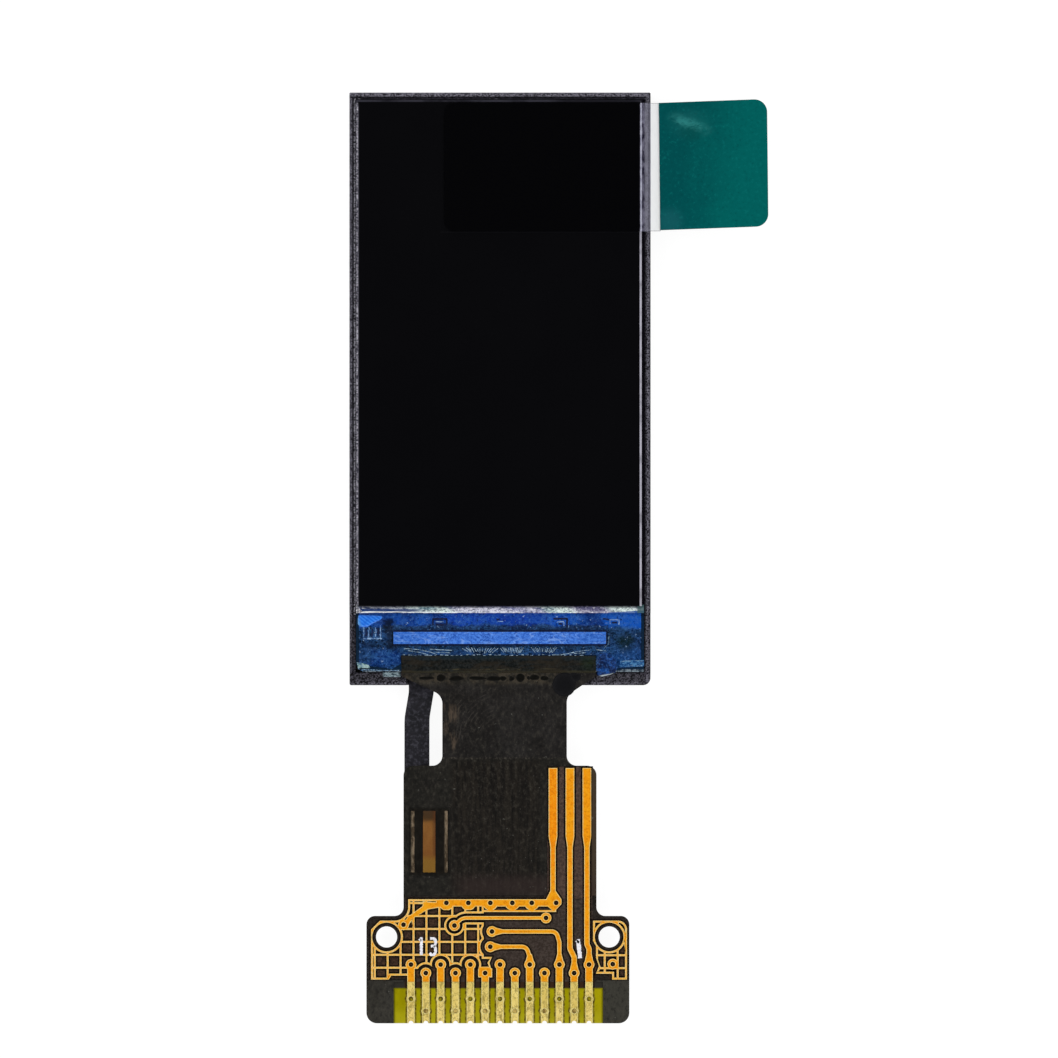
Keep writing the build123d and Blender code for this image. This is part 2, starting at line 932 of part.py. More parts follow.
def make_joint_solder(order):
    height = base_film_z - copper_thickness - tail_top_z
    return plate(joint_outline(order), tail_top_z, height)


def make_tail_land():
    centre_x = joint_x + land_shift
    half = land_width / 2
    outline = rectangle_between(centre_x - half, centre_x + half, joint_bottom_y, joint_top_y)
    return plate(outline, copper_z, copper_thickness)


def make_side_land(side):
    centre_x = joint_x + land_shift + side * side_land_pitch / 2
    half = side_land_width / 2
    outline = rectangle_between(centre_x - half, centre_x + half, joint_bottom_y, joint_top_y)
    return plate(outline, copper_z, copper_thickness)


# Glue spot and tape


def make_glue_spot():
    place = (bond_right - glue_from_bond_side, glass_bottom - glue_below_glass)
    spot = plate(disc(place, glue_radius), flex_top_z, glue_height)
    rim = spot.edges().group_by(Axis.Z)[-1]
    return chamfer(rim, glue_height * 0.7)


def make_tape():
    left = module_width / 2 - side_glass_wall - tape_on_screen
    right = module_width / 2 + tape_past_frame + grip_overlap
    top = polarizer_top - tape_from_screen_top
    corners = [
        (left, top - tape_height, tape_corner_radius),
        (right, top - tape_height, 0),
        (right, top, 0),
        (left, top, tape_corner_radius),
    ]
    return plate(rounded_outline(corners), tape_z, tape_thickness)


def make_grip():
    left = module_width / 2 + tape_past_frame - grip_lean
    top = polarizer_top - tape_from_screen_top
    bottom = top - grip_height
    right = left + grip_length
    corners = [
        (left + grip_lean, bottom, 0),
        (right + grip_lean, bottom + grip_rise, grip_corner_radius),
        (right, top + grip_rise, grip_corner_radius),
        (left, top, 0),
    ]
    return plate(rounded_outline(corners), grip_z, grip_thickness)


# One file for each piece

os.makedirs("parts", exist_ok=True)

save("backlight_frame", make_frame())
save("reflector_film", make_reflector())
save("light_guide_plate", make_light_sheet(light_guide_z, light_guide_thickness))
save("diffuser_film", make_light_sheet(diffuser_z, diffuser_thickness))
save("lower_prism_film", make_light_sheet(lower_prism_z, prism_film_thickness))
save("upper_prism_film", make_light_sheet(upper_prism_z, prism_film_thickness))
save("rim_tape", make_rim_tape())
save("led_housing", make_led_housing())
save("led_phosphor", make_led_phosphor())
save("led_joint_left", make_led_joint(-1))
save("led_joint_right", make_led_joint(1))
save("backlight_flex", make_backlight_flex())
save("rear_polarizer", make_screen_sheet(rear_polarizer_z, polarizer_thickness))
save("array_glass", make_array_glass())
save("filter_glass", make_filter_glass())
save("front_polarizer", make_screen_sheet(front_polarizer_z, polarizer_thickness))
save("protective_film", make_screen_sheet(screen_z, protective_film_thickness))
save("chip_bond_film", make_chip_bond_film())
save("driver_chip", make_driver_chip())
save("ledge_sealant", make_sealant())
save("flex_bond_film", make_flex_bond_film())
save("flex_base_film", make_base_film())
save("flex_rear_coverlay", make_rear_coverlay())
save("flex_front_coverlay", make_front_coverlay())
save("ground_copper", make_ground_copper())
save("ground_mesh_right", make_right_mesh())
save("sense_trace", make_sense_trace())
save("tail_land", make_tail_land())
save("tail_side_land_left", make_side_land(-1))
save("tail_side_land_right", make_side_land(1))
save("glue_spot", make_glue_spot())
save("pull_tab_tape", make_tape())
save("pull_tab_grip", make_grip())

for order in range(2):
    save("joint_pad_" + str(order + 1), make_joint_pad(order))
    save("joint_solder_" + str(order + 1), make_joint_solder(order))

for index in (1, 2, 3, 4, 6, 7, 9):
    save("pin_" + str(pin_count - index).zfill(2), make_pin(index))

save("pin_05", make_routed_pin(8, 1))
save("pin_03", make_routed_pin(10, 0))
save("pin_02", make_test_pad_pin(1, 11))
save("pin_01", make_test_pad_pin(2, 12))
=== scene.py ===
import math
import random

import bmesh
import bpy
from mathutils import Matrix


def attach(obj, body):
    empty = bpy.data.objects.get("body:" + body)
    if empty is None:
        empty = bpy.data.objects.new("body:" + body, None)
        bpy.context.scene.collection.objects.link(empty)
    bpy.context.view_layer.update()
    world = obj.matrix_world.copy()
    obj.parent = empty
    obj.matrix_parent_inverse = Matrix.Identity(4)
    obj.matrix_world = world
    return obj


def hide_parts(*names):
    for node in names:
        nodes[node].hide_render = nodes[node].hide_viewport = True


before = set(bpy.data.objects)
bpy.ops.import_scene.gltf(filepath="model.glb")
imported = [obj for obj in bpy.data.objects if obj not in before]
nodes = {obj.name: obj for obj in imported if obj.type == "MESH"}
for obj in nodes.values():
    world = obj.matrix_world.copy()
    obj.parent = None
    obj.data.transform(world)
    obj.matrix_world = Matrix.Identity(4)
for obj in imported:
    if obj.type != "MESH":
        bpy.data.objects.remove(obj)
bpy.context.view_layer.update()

MM = 0.001

# Heights of the surfaces that the drawn details lie on, in millimetres
BASE_FILM_TOP = 1.18
COPPER_TOP = 1.20
FLEX_TOP = 1.23
LEDGE_TOP = 1.17
BAR_TOP = 1.04

# How far a drawn piece is lifted off a surface, or sunk into it
HAIR = 0.001
SUNK = 0.004

# Places on the part, in millimetres
SOLDER_EDGE = -29.92
FILM_EDGE = -27.96
REAR_FILM_EDGE = -28.25
FIRST_PIN = -4.2
PIN_PITCH = 0.7
LOWER_HOLE_Y = -29.34

# The photograph's frame: a square of pixels, and the pixel that the part's origin lies on
PHOTO_SIZE = 1058
PIXELS_PER_MM = 21.2
ORIGIN_X = 500
ORIGIN_Y = 389

# Floor, lamps and camera, in metres
FLOOR_REACH = 1.5
FLOOR_BASE = 0.15
FLOOR_GLOW = 0.92
LAMP_DISTANCE = 0.5
LAMP_SIZE = 0.25
LAMP_AIM_Y = -0.006
LENS = 300
SENSOR = 36


# Fields: values and colours that change over a surface


def srgb(red, green, blue):
    """A colour written as screen values from 0 to 255."""
    linear = []
    for value in (red, green, blue):
        part = value / 255
        linear.append(part / 12.92 if part <= 0.04045 else ((part + 0.055) / 1.055) ** 2.4)
    return (*linear, 1)


def grey(value):
    return (value, value, value, 1)


def put(value, socket):
    """Joins a field to a socket, or writes a number or a colour on it. Three numbers are screen values."""
    if isinstance(value, Field):
        value.tree.links.new(value.socket, socket)
    elif isinstance(value, tuple) and len(value) == 3:
        socket.default_value = srgb(*value)
    else:
        socket.default_value = value


def set_inputs(node, values):
    for name, value in values.items():
        node.inputs[name].default_value = value


class Field:
    """A value or a colour that a node tree works out at each point of a surface."""

    def __init__(self, tree, socket):
        self.tree = tree
        self.socket = socket

    def math(self, operation, other=0, swapped=False):
        node = self.tree.nodes.new("ShaderNodeMath")
        node.operation = operation
        pair = (other, self) if swapped else (self, other)
        for value, socket in zip(pair, node.inputs):
            put(value, socket)
        return Field(self.tree, node.outputs[0])

    def __add__(self, other):
        return self.math("ADD", other)

    def __sub__(self, other):
        return self.math("SUBTRACT", other)

    def __rsub__(self, other):
        return self.math("SUBTRACT", other, swapped=True)

    def __mul__(self, other):
        return self.math("MULTIPLY", other)

    def __or__(self, other):
        """The larger of two fields."""
        return self.math("MAXIMUM", other)

    def __abs__(self):
        return self.math("ABSOLUTE")

    def zigzag(self, span):
        return self.math("PINGPONG", span)

    def split(self):
        node = self.tree.nodes.new("ShaderNodeSeparateXYZ")
        put(self, node.inputs[0])
        return [Field(self.tree, output) for output in node.outputs]

    def rise(self, low, high, start=0, end=1):
        """From start to end while this field goes from low to high."""
        node = self.tree.nodes.new("ShaderNodeMapRange")
        node.interpolation_type = "SMOOTHSTEP"
        put(self, node.inputs["Value"])
        set_inputs(node, {"From Min": low, "From Max": high, "To Min": start, "To Max": end})
        return Field(self.tree, node.outputs["Result"])

    def fall(self, low, high, end=0):
        """From 1 to end while this field goes from low to high."""
        return self.rise(low, high, 1, end)

    def band(self, low, high, soft=0.04):
        """1 from low to high, and 0 beyond."""
        half = soft / 2
        return self.rise(low - half, low + half) * self.fall(high - half, high + half)

    def blend(self, under, over):
        """The colour under where this field is 0, and the colour over where it is 1."""
        node = self.tree.nodes.new("ShaderNodeMix")
        node.data_type = "RGBA"
        for value, index in ((self, 0), (under, 6), (over, 7)):
            put(value, node.inputs[index])
        return Field(self.tree, node.outputs[2])

    def shades(self, low, high, dark, light):
        """From dark to light while this field goes from low to high."""
        return self.rise(low, high).blend(dark, light)

    def tint(self, mask, shade):
        """This colour, with another one over it where the mask is 1."""
        return mask.blend(self, shade)


class Paint:
    """One procedural material. Its fields are drawn in the part's own millimetres."""

    def __init__(self, name, roughness=0.5, specular=0.5):
        self.material = bpy.data.materials.new(name)
        self.material.use_nodes = True
        self.tree = self.material.node_tree
        self.shader = self.tree.nodes["Principled BSDF"]
        set_inputs(self.shader, {"Roughness": roughness, "Specular IOR Level": specular})
        coordinates = self.tree.nodes.new("ShaderNodeTexCoord")
        scale = self.tree.nodes.new("ShaderNodeVectorMath")
        scale.operation = "SCALE"
        scale.inputs["Scale"].default_value = 1 / MM
        self.tree.links.new(coordinates.outputs["Object"], scale.inputs[0])
        self.place = Field(self.tree, scale.outputs[0])
        self.x, self.y = self.place.split()[:2]
        self.up = Field(self.tree, coordinates.outputs["Normal"]).split()[2]

    def area(self, left, right, bottom, top, soft=0.04):
        return self.x.band(left, right, soft) * self.y.band(bottom, top, soft)

    def spot(self, x, y, inner, outer, stretch=1):
        """1 within inner of a point, 0 beyond outer. stretch above 1 makes it long in x."""
        across = (self.x - x).math("DIVIDE", stretch)
        along = self.y - y
        return (across * across + along * along).math("SQRT").fall(inner, outer)

    def noise(self, scale, detail=3, rough=0.55, stretch=(1, 1), warp=0, seed=0, place=None):
        """Soft noise about 0.5. A stretch under 1 makes it long in x or y."""
        mapping = self.tree.nodes.new("ShaderNodeMapping")
        set_inputs(mapping, {"Scale": (*stretch, 1), "Location": (seed, seed * 0.7, seed * 0.3)})
        put(place or self.place, mapping.inputs[0])
        node = self.tree.nodes.new("ShaderNodeTexNoise")
        set_inputs(node, {"Scale": scale, "Detail": detail, "Roughness": rough, "Distortion": warp})
        self.tree.links.new(mapping.outputs[0], node.inputs["Vector"])
        return Field(self.tree, node.outputs["Fac"])

    def veins(self, scale, width, stretch=(1, 1), warp=0.8, seed=0):
        """Thin curled lines: 1 on a line, 0 beside it."""
        return abs(self.noise(scale, 2, 0.5, stretch, warp, seed) - 0.5).fall(0, width)

    def colour(self, value):
        self.shade = value
        put(value, self.shader.inputs["Base Color"])

    def tint(self, mask, shade):
        """Lays another colour over the material's own where the mask is 1."""
        self.colour(self.shade.tint(mask, shade))

    def roughness(self, value):
        put(value, self.shader.inputs["Roughness"])

    def alpha(self, value):
        put(value, self.shader.inputs["Alpha"])

    def bump(self, height, size, strength=0.5):
        """height from 0 to 1 stands for size millimetres."""
        node = self.tree.nodes.new("ShaderNodeBump")
        set_inputs(node, {"Strength": strength, "Distance": size * MM})
        put(height, node.inputs["Height"])
        self.tree.links.new(node.outputs[0], self.shader.inputs["Normal"])

    def wear(self, *node_names):
        """Gives this material to every named CAD node."""
        for name in node_names:
            mesh = nodes[name].data
            for index in range(len(mesh.materials)):
                mesh.materials[index] = self.material
            if not mesh.materials:
                mesh.materials.append(self.material)


def cloudy(name, roughness, grain, dark, light, specular=0.5):
    """A plain material that wanders between two colours. grain is its noise's scale, detail and so on."""
    paint = Paint(name, roughness, specular)
    paint.colour(paint.noise(*grain).blend(dark, light))
    return paint


# Materials of the moulded frame and the films under the glass


def frame_plastic():
    paint = Paint("moulded_plastic", roughness=0.45, specular=0.15)
    x, y = paint.x, paint.y
    fine = paint.noise(14, 2, 0.7)
    coarse = paint.noise(3.5, 3, 0.6, (1, 0.7), seed=4)
    grain = fine * 0.82 + coarse * 0.18
    sparkle_highlights = paint.noise(9, 3, 0.7, seed=21).rise(0.64, 0.7)
    # Dark, middle, light and low are one grain in shaded and lit copies, used below as painted light and
    # shade
    dark = grain.shades(0.43, 0.58, (3, 2, 7), (52, 50, 60))
    middle = grain.shades(0.42, 0.58, (16, 14, 22), (122, 120, 132))
    light = grain.shades(0.44, 0.57, (14, 12, 20), (180, 178, 190))
    low = grain.shades(0.43, 0.59, (3, 2, 5), (72, 70, 79))
    facing = paint.up.rise(0.5, 0.8)
    below_top = y.fall(13.68, 13.74)
    left_rim = x.fall(-7, -6.97) * below_top * 0.8
    right_rim = x.band(6.88, 7.06) * x.fall(6.96, 7, 0.72)
    side_rims = (left_rim | right_rim) * y.rise(-10.9, -10.7, 0.6, 1)
    top_rim = y.rise(13.78, 13.8)
    # Painted light on the upward faces of the side and top rims; the rest of the frame keeps the dark,
    # shaded copy
    paint.colour(dark.tint((side_rims | top_rim) * facing, middle))
    bar = y.fall(-13.44, -13.4) * x.fall(6.8, 6.84)
    # Painted light: a lighter copy of the grain on the bar's upward face
    paint.tint(bar * facing, low)
    # Painted highlight along the bar's lower edge
    low_edge_highlight = y.rise(-13.82, -13.86) * bar
    paint.tint(low_edge_highlight * 0.4, middle)
    # Painted light on the upward face of the left step
    left_step = x.band(-6.895, -6.6, 0.02) * below_top
    above_ledge = y.rise(-10.7, -10.6)
    paint.tint(left_step * facing * above_ledge, light)
    # Painted sparkle highlights on the upward faces
    paint.tint(sparkle_highlights * facing * 0.5, (196, 194, 204))
    paint.roughness(fine.rise(0.3, 0.7, 0.36, 0.62))
    paint.bump(grain, 0.02, 0.7)
    return paint


def reflector_silver():
    paint = Paint("silver_film", roughness=0.22)
    streak = paint.noise(1.2, 3, 0.5, (0.2, 3))
    paint.colour(streak.blend((196, 200, 206), (232, 234, 236)))
    paint.bump(streak, 0.01, 0.3)
    return paint


def prism_film():
    paint = Paint("ribbed_film", roughness=0.25)
    ribs = (paint.x * 20).zigzag(1)
    paint.colour(ribs.blend((200, 208, 214), (232, 236, 240)))
    paint.bump(ribs, 0.02, 0.5)
    return paint


def solder():
    paint = cloudy("solder", 0.3, (6, 4), (176, 176, 174), (216, 216, 212))
    paint.shader.inputs["Metallic"].default_value = 0.8
    paint.bump(paint.noise(5, 2), 0.02, 0.5)
    return paint


def strip_black():
    paint = Paint("backlight_strip", roughness=0.42, specular=0.2)
    cloud = paint.noise(1.6, 4, 0.6)
    fine = paint.noise(6, 4, 0.7)
    paint.colour(cloud.shades(0.35, 0.7, (22, 22, 27), (42, 41, 48)))
    paint.tint(fine.rise(0.5, 0.64, 0, 0.45), (76, 75, 84))
    paint.tint(fine.rise(0.5, 0.38, 0, 0.5), (14, 13, 18))
    paint.bump(cloud, 0.03, 0.4)
    return paint


# Materials of the glass and what lies on it


def protective_film():
    paint = Paint("protective_film", roughness=0.14, specular=0.06)
    paint.colour(paint.noise(0.3, 3, 0.5).blend((8, 8, 10), (11, 11, 13)))
    dust = paint.noise(5, 4, 0.7, seed=9).rise(0.735, 0.76)
    paint.tint(dust * 0.5, (46, 46, 50))
    tape_edge = paint.area(-2.8, 6.68, 7.37, 7.41, 0.02)
    paint.tint(tape_edge * 0.5, (20, 20, 23))
    # Painted highlights: broken reflection lines along the polarizer's right and left edges
    broken = paint.noise(1.1, 3, 0.6, (0.1, 1)).rise(0.3, 0.55, 0.55, 1)
    right_edge_glint = paint.area(6.585, 6.7, -10.4, 13.38, 0.02) * broken
    paint.tint(right_edge_glint, (178, 176, 188))
    left_edge_glint = paint.area(-6.7, -6.655, -10.4, 13.4, 0.02) * broken
    paint.tint(left_edge_glint * 0.45, (110, 108, 122))
    return paint


def glass_edge_strip(paint, fine):
    """The lower edge of the filter glass: its cut face, with painted reflections of several tints, painted
    white sparkle and a painted glint at its left end.
    """
    x, y = paint.x, paint.y
    slant = paint.tree.nodes.new("ShaderNodeCombineXYZ")
    put(x + y * 2.6, slant.inputs[0])
    put(y * 1.5, slant.inputs[1])
    patches = paint.noise(1.3, 4, 0.65, (0.6, 1), 0.4, place=Field(paint.tree, slant.outputs[0]))
    # Painted reflections on the cut face, in rose, green and violet stretches
    bright = patches.rise(0.4, 0.58)
    rose = bright.blend((132, 134, 180), (226, 226, 244))
    green = bright.blend((122, 158, 168), (234, 252, 248))
    violet = bright.blend((116, 112, 148), (216, 212, 232))
    colour = bright.blend((56, 68, 100), (206, 212, 222))
    along = x + y * 1.2 + 12.5
    stretches = (
        (-4.3, -2.3, green),
        (-2.2, 2.1, rose),
        (2.1, 3.5, green),
        (3.5, 5.2, violet),
        (5.2, 6.45, green),
    )
    for left, right, shade in stretches:
        colour = colour.tint(along.band(left, right, 0.7), shade)
    colour = colour.tint(fine.rise(0.36, 0.54, 0.85, 0), (38, 48, 78))
    # Painted white sparkle highlights
    colour = colour.tint(fine.rise(0.56, 0.66, 0, 0.6), (255, 255, 255))
    blue_part = y.band(-10.52, -10.37, 0.06) * x.fall(-4.1, -3.4)
    colour = colour.tint(blue_part * 0.85, (22, 54, 112))
    level = y + (patches - 0.5) * 0.2
    # Painted highlight: a white line low on the edge, strongest on its left part
    low_highlight_line = level.band(-10.55, -10.5, 0.03) * x.fall(-2.1, -1.6, 0.12)
    colour = colour.tint(low_highlight_line * 0.95, (246, 250, 255))
    right_wedge = (y + x * -0.06).fall(-10.86, -10.84) * x.rise(5, 5.2)
    colour = colour.tint(right_wedge * 0.85, (26, 78, 160))
    top_shadow = level.rise(-10.33, -10.27)
    colour = colour.tint(top_shadow * 0.75, (36, 36, 48))
    # Painted glint at the left end, crossed by dark cracks
    left_end_glint = (x + y * 0.9).fall(-16, -15.9)
    cracks = paint.veins(4, 0.12, (1, 1.4), seed=5)
    colour = colour.tint(left_end_glint * 0.9, cracks.blend((232, 232, 238), (70, 68, 80)))
    right_end = x.rise(6.42, 6.52)
    return colour.tint(right_end * 0.85, (66, 96, 98))


def filter_glass():
    paint = Paint("filter_glass", roughness=0.14, specular=0.2)
    x, y = paint.x, paint.y
    fine = paint.noise(12, 3, 0.8, (0.8, 1))
    paint.colour(fine.shades(0.4, 0.58, (34, 32, 42), (150, 148, 162)))
    # Painted highlight along the left edge of the glass
    left_edge_highlight = x.band(-6.755, -6.7, 0.02)
    paint.tint(left_edge_highlight, fine.shades(0.45, 0.6, (70, 68, 80), (226, 224, 234)))
    top_line = y.rise(13.45, 13.5)
    paint.tint(top_line, (18, 17, 22))
    broken = paint.noise(0.6, 3, 0.6, seed=5).rise(0.4, 0.6, 0.2, 0.7)
    paint.tint(top_line * broken, (74, 73, 84))
    # Painted shade in the gap between the glass and the right rim
    right_gap_shade = x.rise(6.66, 6.7)
    paint.tint(right_gap_shade, (16, 14, 22))
    edge_strip = y.fall(-10.2, -10.15)
    paint.tint(edge_strip, glass_edge_strip(paint, fine))
    return paint


def array_glass():
    paint = Paint("array_glass", roughness=0.12, specular=0.3)
    fine = paint.noise(6, 4, 0.7)
    base = fine.blend((10, 22, 36), (26, 52, 78))
    pale = fine.shades(0.4, 0.6, (40, 50, 62), (142, 156, 166))
    lower_edge = paint.y.fall(-13.31, -13.28)
    right_corner = paint.y.fall(-13.24, -13.2) * paint.x.rise(5.66, 5.72)
    paint.colour(base.tint(lower_edge * 0.7 | right_corner * 0.75, pale))
    return paint


def ledge_resin():
    paint = Paint("blue_resin", roughness=0.2, specular=0.2)
    cloud = paint.noise(0.9, 4, 0.6, (0.7, 1.4), 0.5)
    blotch = paint.noise(2, 5, 0.7, warp=0.3, seed=3)
    fine = paint.noise(8, 3, 0.8, seed=5)
    paint.x = paint.x + (paint.noise(1.6, 4, 0.65, seed=31) - 0.5) * 1.1
    paint.y = paint.y + (paint.noise(1.4, 4, 0.65, seed=37) - 0.5) * 0.5
    bright = cloud.shades(0.4, 0.62, (12, 46, 118), (22, 76, 170))
    deep = blotch.shades(0.38, 0.62, (8, 20, 40), (22, 54, 100))
    paint.colour(deep.tint(paint.y.rise(-11.3, -11.1), bright))
    # Left, right, bottom, top and softness of each tinted stretch, its strength and its colour
    stretches = (
        (-2.5, 2.1, -11.2, -10.4, 0.5, 0.6, (18, 56, 168)),
        (2.2, 3.45, -11.2, -10.4, 0.2, 0.6, (18, 76, 184)),
        (4.9, 7.2, -11.25, -10.4, 0.25, 0.75, (18, 86, 188)),
        (-5.5, 5.1, -11.5, -11.14, 0.14, 0.8, (24, 42, 76)),
        (-4.6, 4.6, -12.35, -12.04, 0.1, 0.75, (16, 36, 56)),
        (-6.1, -4.6, -13.1, -12.3, 0.4, 0.65, (12, 52, 122)),
        (5.1, 7.2, -13.1, -12.3, 0.4, 0.6, (20, 62, 122)),
    )
    for left, right, bottom, top, soft, strength, shade in stretches:
        paint.tint(paint.area(left, right, bottom, top, soft) * strength, shade)
    curls = paint.veins(2.6, 0.045, (0.8, 1.3), seed=9)
    finer_curls = paint.veins(4.2, 0.06, (0.8, 1.2), seed=14)
    patchy = cloud.rise(0.42, 0.62, 0.2, 0.85)
    paint.tint((curls | finer_curls) * patchy * 0.5, (58, 110, 172))
    # Painted sparkle highlights
    paint.tint(fine.rise(0.54, 0.68) * 0.55, (70, 120, 186))
    paint.tint(fine.rise(0.46, 0.32) * 0.75, (4, 12, 32))
    ragged = blotch.fall(0.36, 0.62, 0.7)
    left_shade = (
        paint.area(-5.65, -5, -11.35, -10.8, 0.25)
        | paint.area(-5.45, -4.9, -12.3, -11.2, 0.25)
        | paint.area(-6.5, -5.2, -12.2, -11.9, 0.2) * 0.5
    )
    paint.tint(left_shade * ragged * 0.9, (14, 20, 30))
    # Darker green patches right of the chip
    dark_green_patches = paint.spot(5.85, -11.95, 0.2, 0.7) | paint.spot(5.4, -11.4, 0.1, 0.5) * 0.5
    paint.tint(dark_green_patches * ragged * 0.8, (16, 34, 38))
    # Painted sparkle highlights on the resin
    sparkle_highlights = paint.noise(6, 3, 0.7, seed=19).rise(0.67, 0.71)
    paint.tint(sparkle_highlights * 0.7, (168, 198, 232))
    paint.roughness(blotch.rise(0.35, 0.65, 0.14, 0.34))
    paint.bump(cloud * 0.5 + curls * 0.3 + fine * 0.2, 0.03, 0.4)
    return paint


def chip_silicon():
    paint = Paint("chip_silicon", roughness=0.32, specular=0.3)
    fine = paint.noise(8.5, 3, 0.8, (0.8, 1.1))
    cloud = paint.noise(1.2, 3, 0.5)
    paint.colour(fine.shades(0.36, 0.64, (24, 74, 168), (84, 139, 232)))
    paint.tint(cloud.rise(0.4, 0.6, 0, 0.35), (62, 120, 222))
    ends = abs(paint.x).rise(3.2, 4.2, 0, 0.3)
    paint.tint(ends, (34, 92, 178))
    scratch = paint.veins(1.4, 0.02, (0.6, 1.6), seed=3)
    paint.tint(scratch * 0.4, (150, 188, 250))
    # Painted shade on the chip's sides
    side = paint.up.fall(0.5, 0.8)
    paint.tint(side, (10, 14, 30))
    right_line = paint.x.rise(4.99, 5.01)
    paint.tint(right_line, (14, 16, 34))
    paint.bump(fine, 0.01, 0.4)
    return paint


def tape_clear():
    """Dark where it lies on the screen, with a pale fold at the frame and a haze beyond."""
    paint = Paint("clear_tape", roughness=0.18, specular=0.3)
    x, y = paint.x, paint.y
    cloud = paint.noise(4.5, 4, 0.7, (1, 0.5))
    on_screen = x.fall(6.585, 6.615)
    fold_line = x.band(6.615, 6.69, 0.02)
    past_frame = x.rise(7.08, 7.12)
    under_grip = x.rise(7.56, 7.58)
    paint.colour(cloud.shades(0.4, 0.6, (44, 42, 66), (150, 148, 172)))
    paint.tint(x.rise(6.79, 6.85, 0, 0.6), (176, 176, 192))
    paint.tint(x.band(6.99, 7.05, 0.02) * 0.6, (70, 68, 84))
    paint.tint(fold_line, cloud.shades(0.4, 0.6, (152, 152, 172), (190, 190, 206)))
    paint.tint(past_frame, cloud.blend((244, 246, 247), (252, 253, 254)))
    paint.tint(x.rise(7.40, 7.44), (252, 252, 252))
    border = y.rise(13.43, 13.45) * past_frame | y.rise(7.47, 7.45) * past_frame
    paint.tint(border * 0.7, (170, 170, 172))
    paint.tint(on_screen, (4, 4, 6))
    cover = past_frame.blend(grey(0.32), grey(0.8))
    for mask, share in ((fold_line, 0.85), (on_screen, 0.7), (under_grip, 0)):
        cover = cover.tint(mask, grey(share))
    paint.alpha(cover.split()[0])
    return paint


def grip_green():
    paint = Paint("green_film", roughness=0.5, specular=0.02)
    x, y = paint.x, paint.y
    cloud = paint.noise(0.45, 4, 0.6, warp=0.5)
    fine = paint.noise(6.5, 4, 0.75)
    slope = x + cloud * 3 + y * -0.15
    paint.colour(slope.shades(8.2, 11.4, (0, 76, 78), (0, 94, 91)))
    paint.tint(fine.rise(0.54, 0.7, 0, 0.45), (12, 116, 112))
    paint.tint(fine.rise(0.46, 0.32, 0, 0.4), (0, 62, 64))
    crease = paint.noise(1.9, 3, 0.6, (1, 1.5), 1.2, seed=2)
    ridge = (y + x * 0.42 + crease * 0.9 - 0.45).band(16.1, 16.5, 0.35)
    spread = paint.spot(8.95, 12.5, 0.2, 1, 1.4)
    # Painted highlight on a blister in the film
    lit_blister = spread * crease.rise(0.34, 0.6, 0.4, 1) * (ridge * 0.8 + 0.2)
    paint.tint(lit_blister * 0.75, (48, 134, 132))
    # Painted shade in the hollow beside the blister
    hollow_shade = paint.spot(9, 12.05, 0.1, 0.55, 1.4)
    paint.tint(hollow_shade * 0.45, (0, 68, 66))
    lower_left = paint.spot(8, 7.9, 0.2, 0.9)
    paint.tint(lower_left * 0.6, (22, 92, 98))
    paint.bump(lit_blister * 0.7 + cloud * 0.2 + fine * 0.1, 0.1, 0.5)
    return paint


# Materials of the main flex


def under_coverlay(paint, fine):
    """The base film between the traces and in the meshes, dark over its black rear film."""
    x, y = paint.x, paint.y
    grain = fine.rise(0.38, 0.62)
    colour = grain.blend((50, 42, 38), (74, 64, 58))
    margins = x.rise(-4.32, -4.42) | x.rise(4.3, 4.42) | y.rise(-24.15, -24.05)
    colour = colour.tint(margins, grain.blend((34, 29, 26), (52, 47, 43)))
    in_mesh = (
        paint.area(-4.45, -0.86, -27.8, -24.1)
        | paint.area(-6.05, -4.4, -27.8, -25.05)
        | paint.area(4.42, 5.98, -27.85, -25.1)
    )
    outside = (
        paint.spot(-5.35, -25.85, 0.66, 0.7)
        | paint.spot(5.15, -25.85, 0.66, 0.7)
        | (y - x).rise(-19.56, -19.5)
        | paint.area(4.4, 5.16, -28, -27.6, 0.02)
    )
    colour = colour.tint(in_mesh * (1 - outside), grain.blend((46, 33, 26), (78, 58, 46)))
    by_lands = paint.area(-4.4, -2.3, -23.1, -19.3, 0.6)
    colour = colour.tint(by_lands, (26, 20, 13))
    by_pads = paint.area(2.1, 4.34, -24.05, -17.4, 0.12)
    colour = colour.tint(by_pads, grain.blend((66, 53, 47), (90, 72, 64)))
    right_margin = x.rise(4.32, 4.4) * y.rise(-24.6, -24.2)
    return colour.tint(right_margin, (34, 30, 26))


def olive_window(paint, window, fine):
    """The bare base film between the pins, lit through from behind."""
    x, y = paint.x, paint.y
    colour = paint.noise(0.8, 3, 0.5).shades(0.35, 0.65, (144, 135, 0), (164, 156, 3))
    colour = colour.tint(x.rise(4.25, 4.75) * 0.75, (166, 154, 8))
    colour = colour.tint(y.rise(-29.9, -28.9, 0.45, 0), (176, 168, 34))
    colour = colour.tint(fine.rise(0.45, 0.35, 0, 0.25), (116, 110, 6))
    inner_rim = window * (1 - paint.area(-4.95, 4.79, -30.5, REAR_FILM_EDGE - 0.06, 0.06))
    colour = colour.tint(inner_rim * 0.6, (84, 84, 10))
    every_other = (x - FIRST_PIN).zigzag(PIN_PITCH)
    plugs = every_other.rise(0.6, 0.62) * paint.area(-4.3, 4.3, -29.42, -29.22, 0.02)
    return colour.tint(plugs, (172, 158, 96))


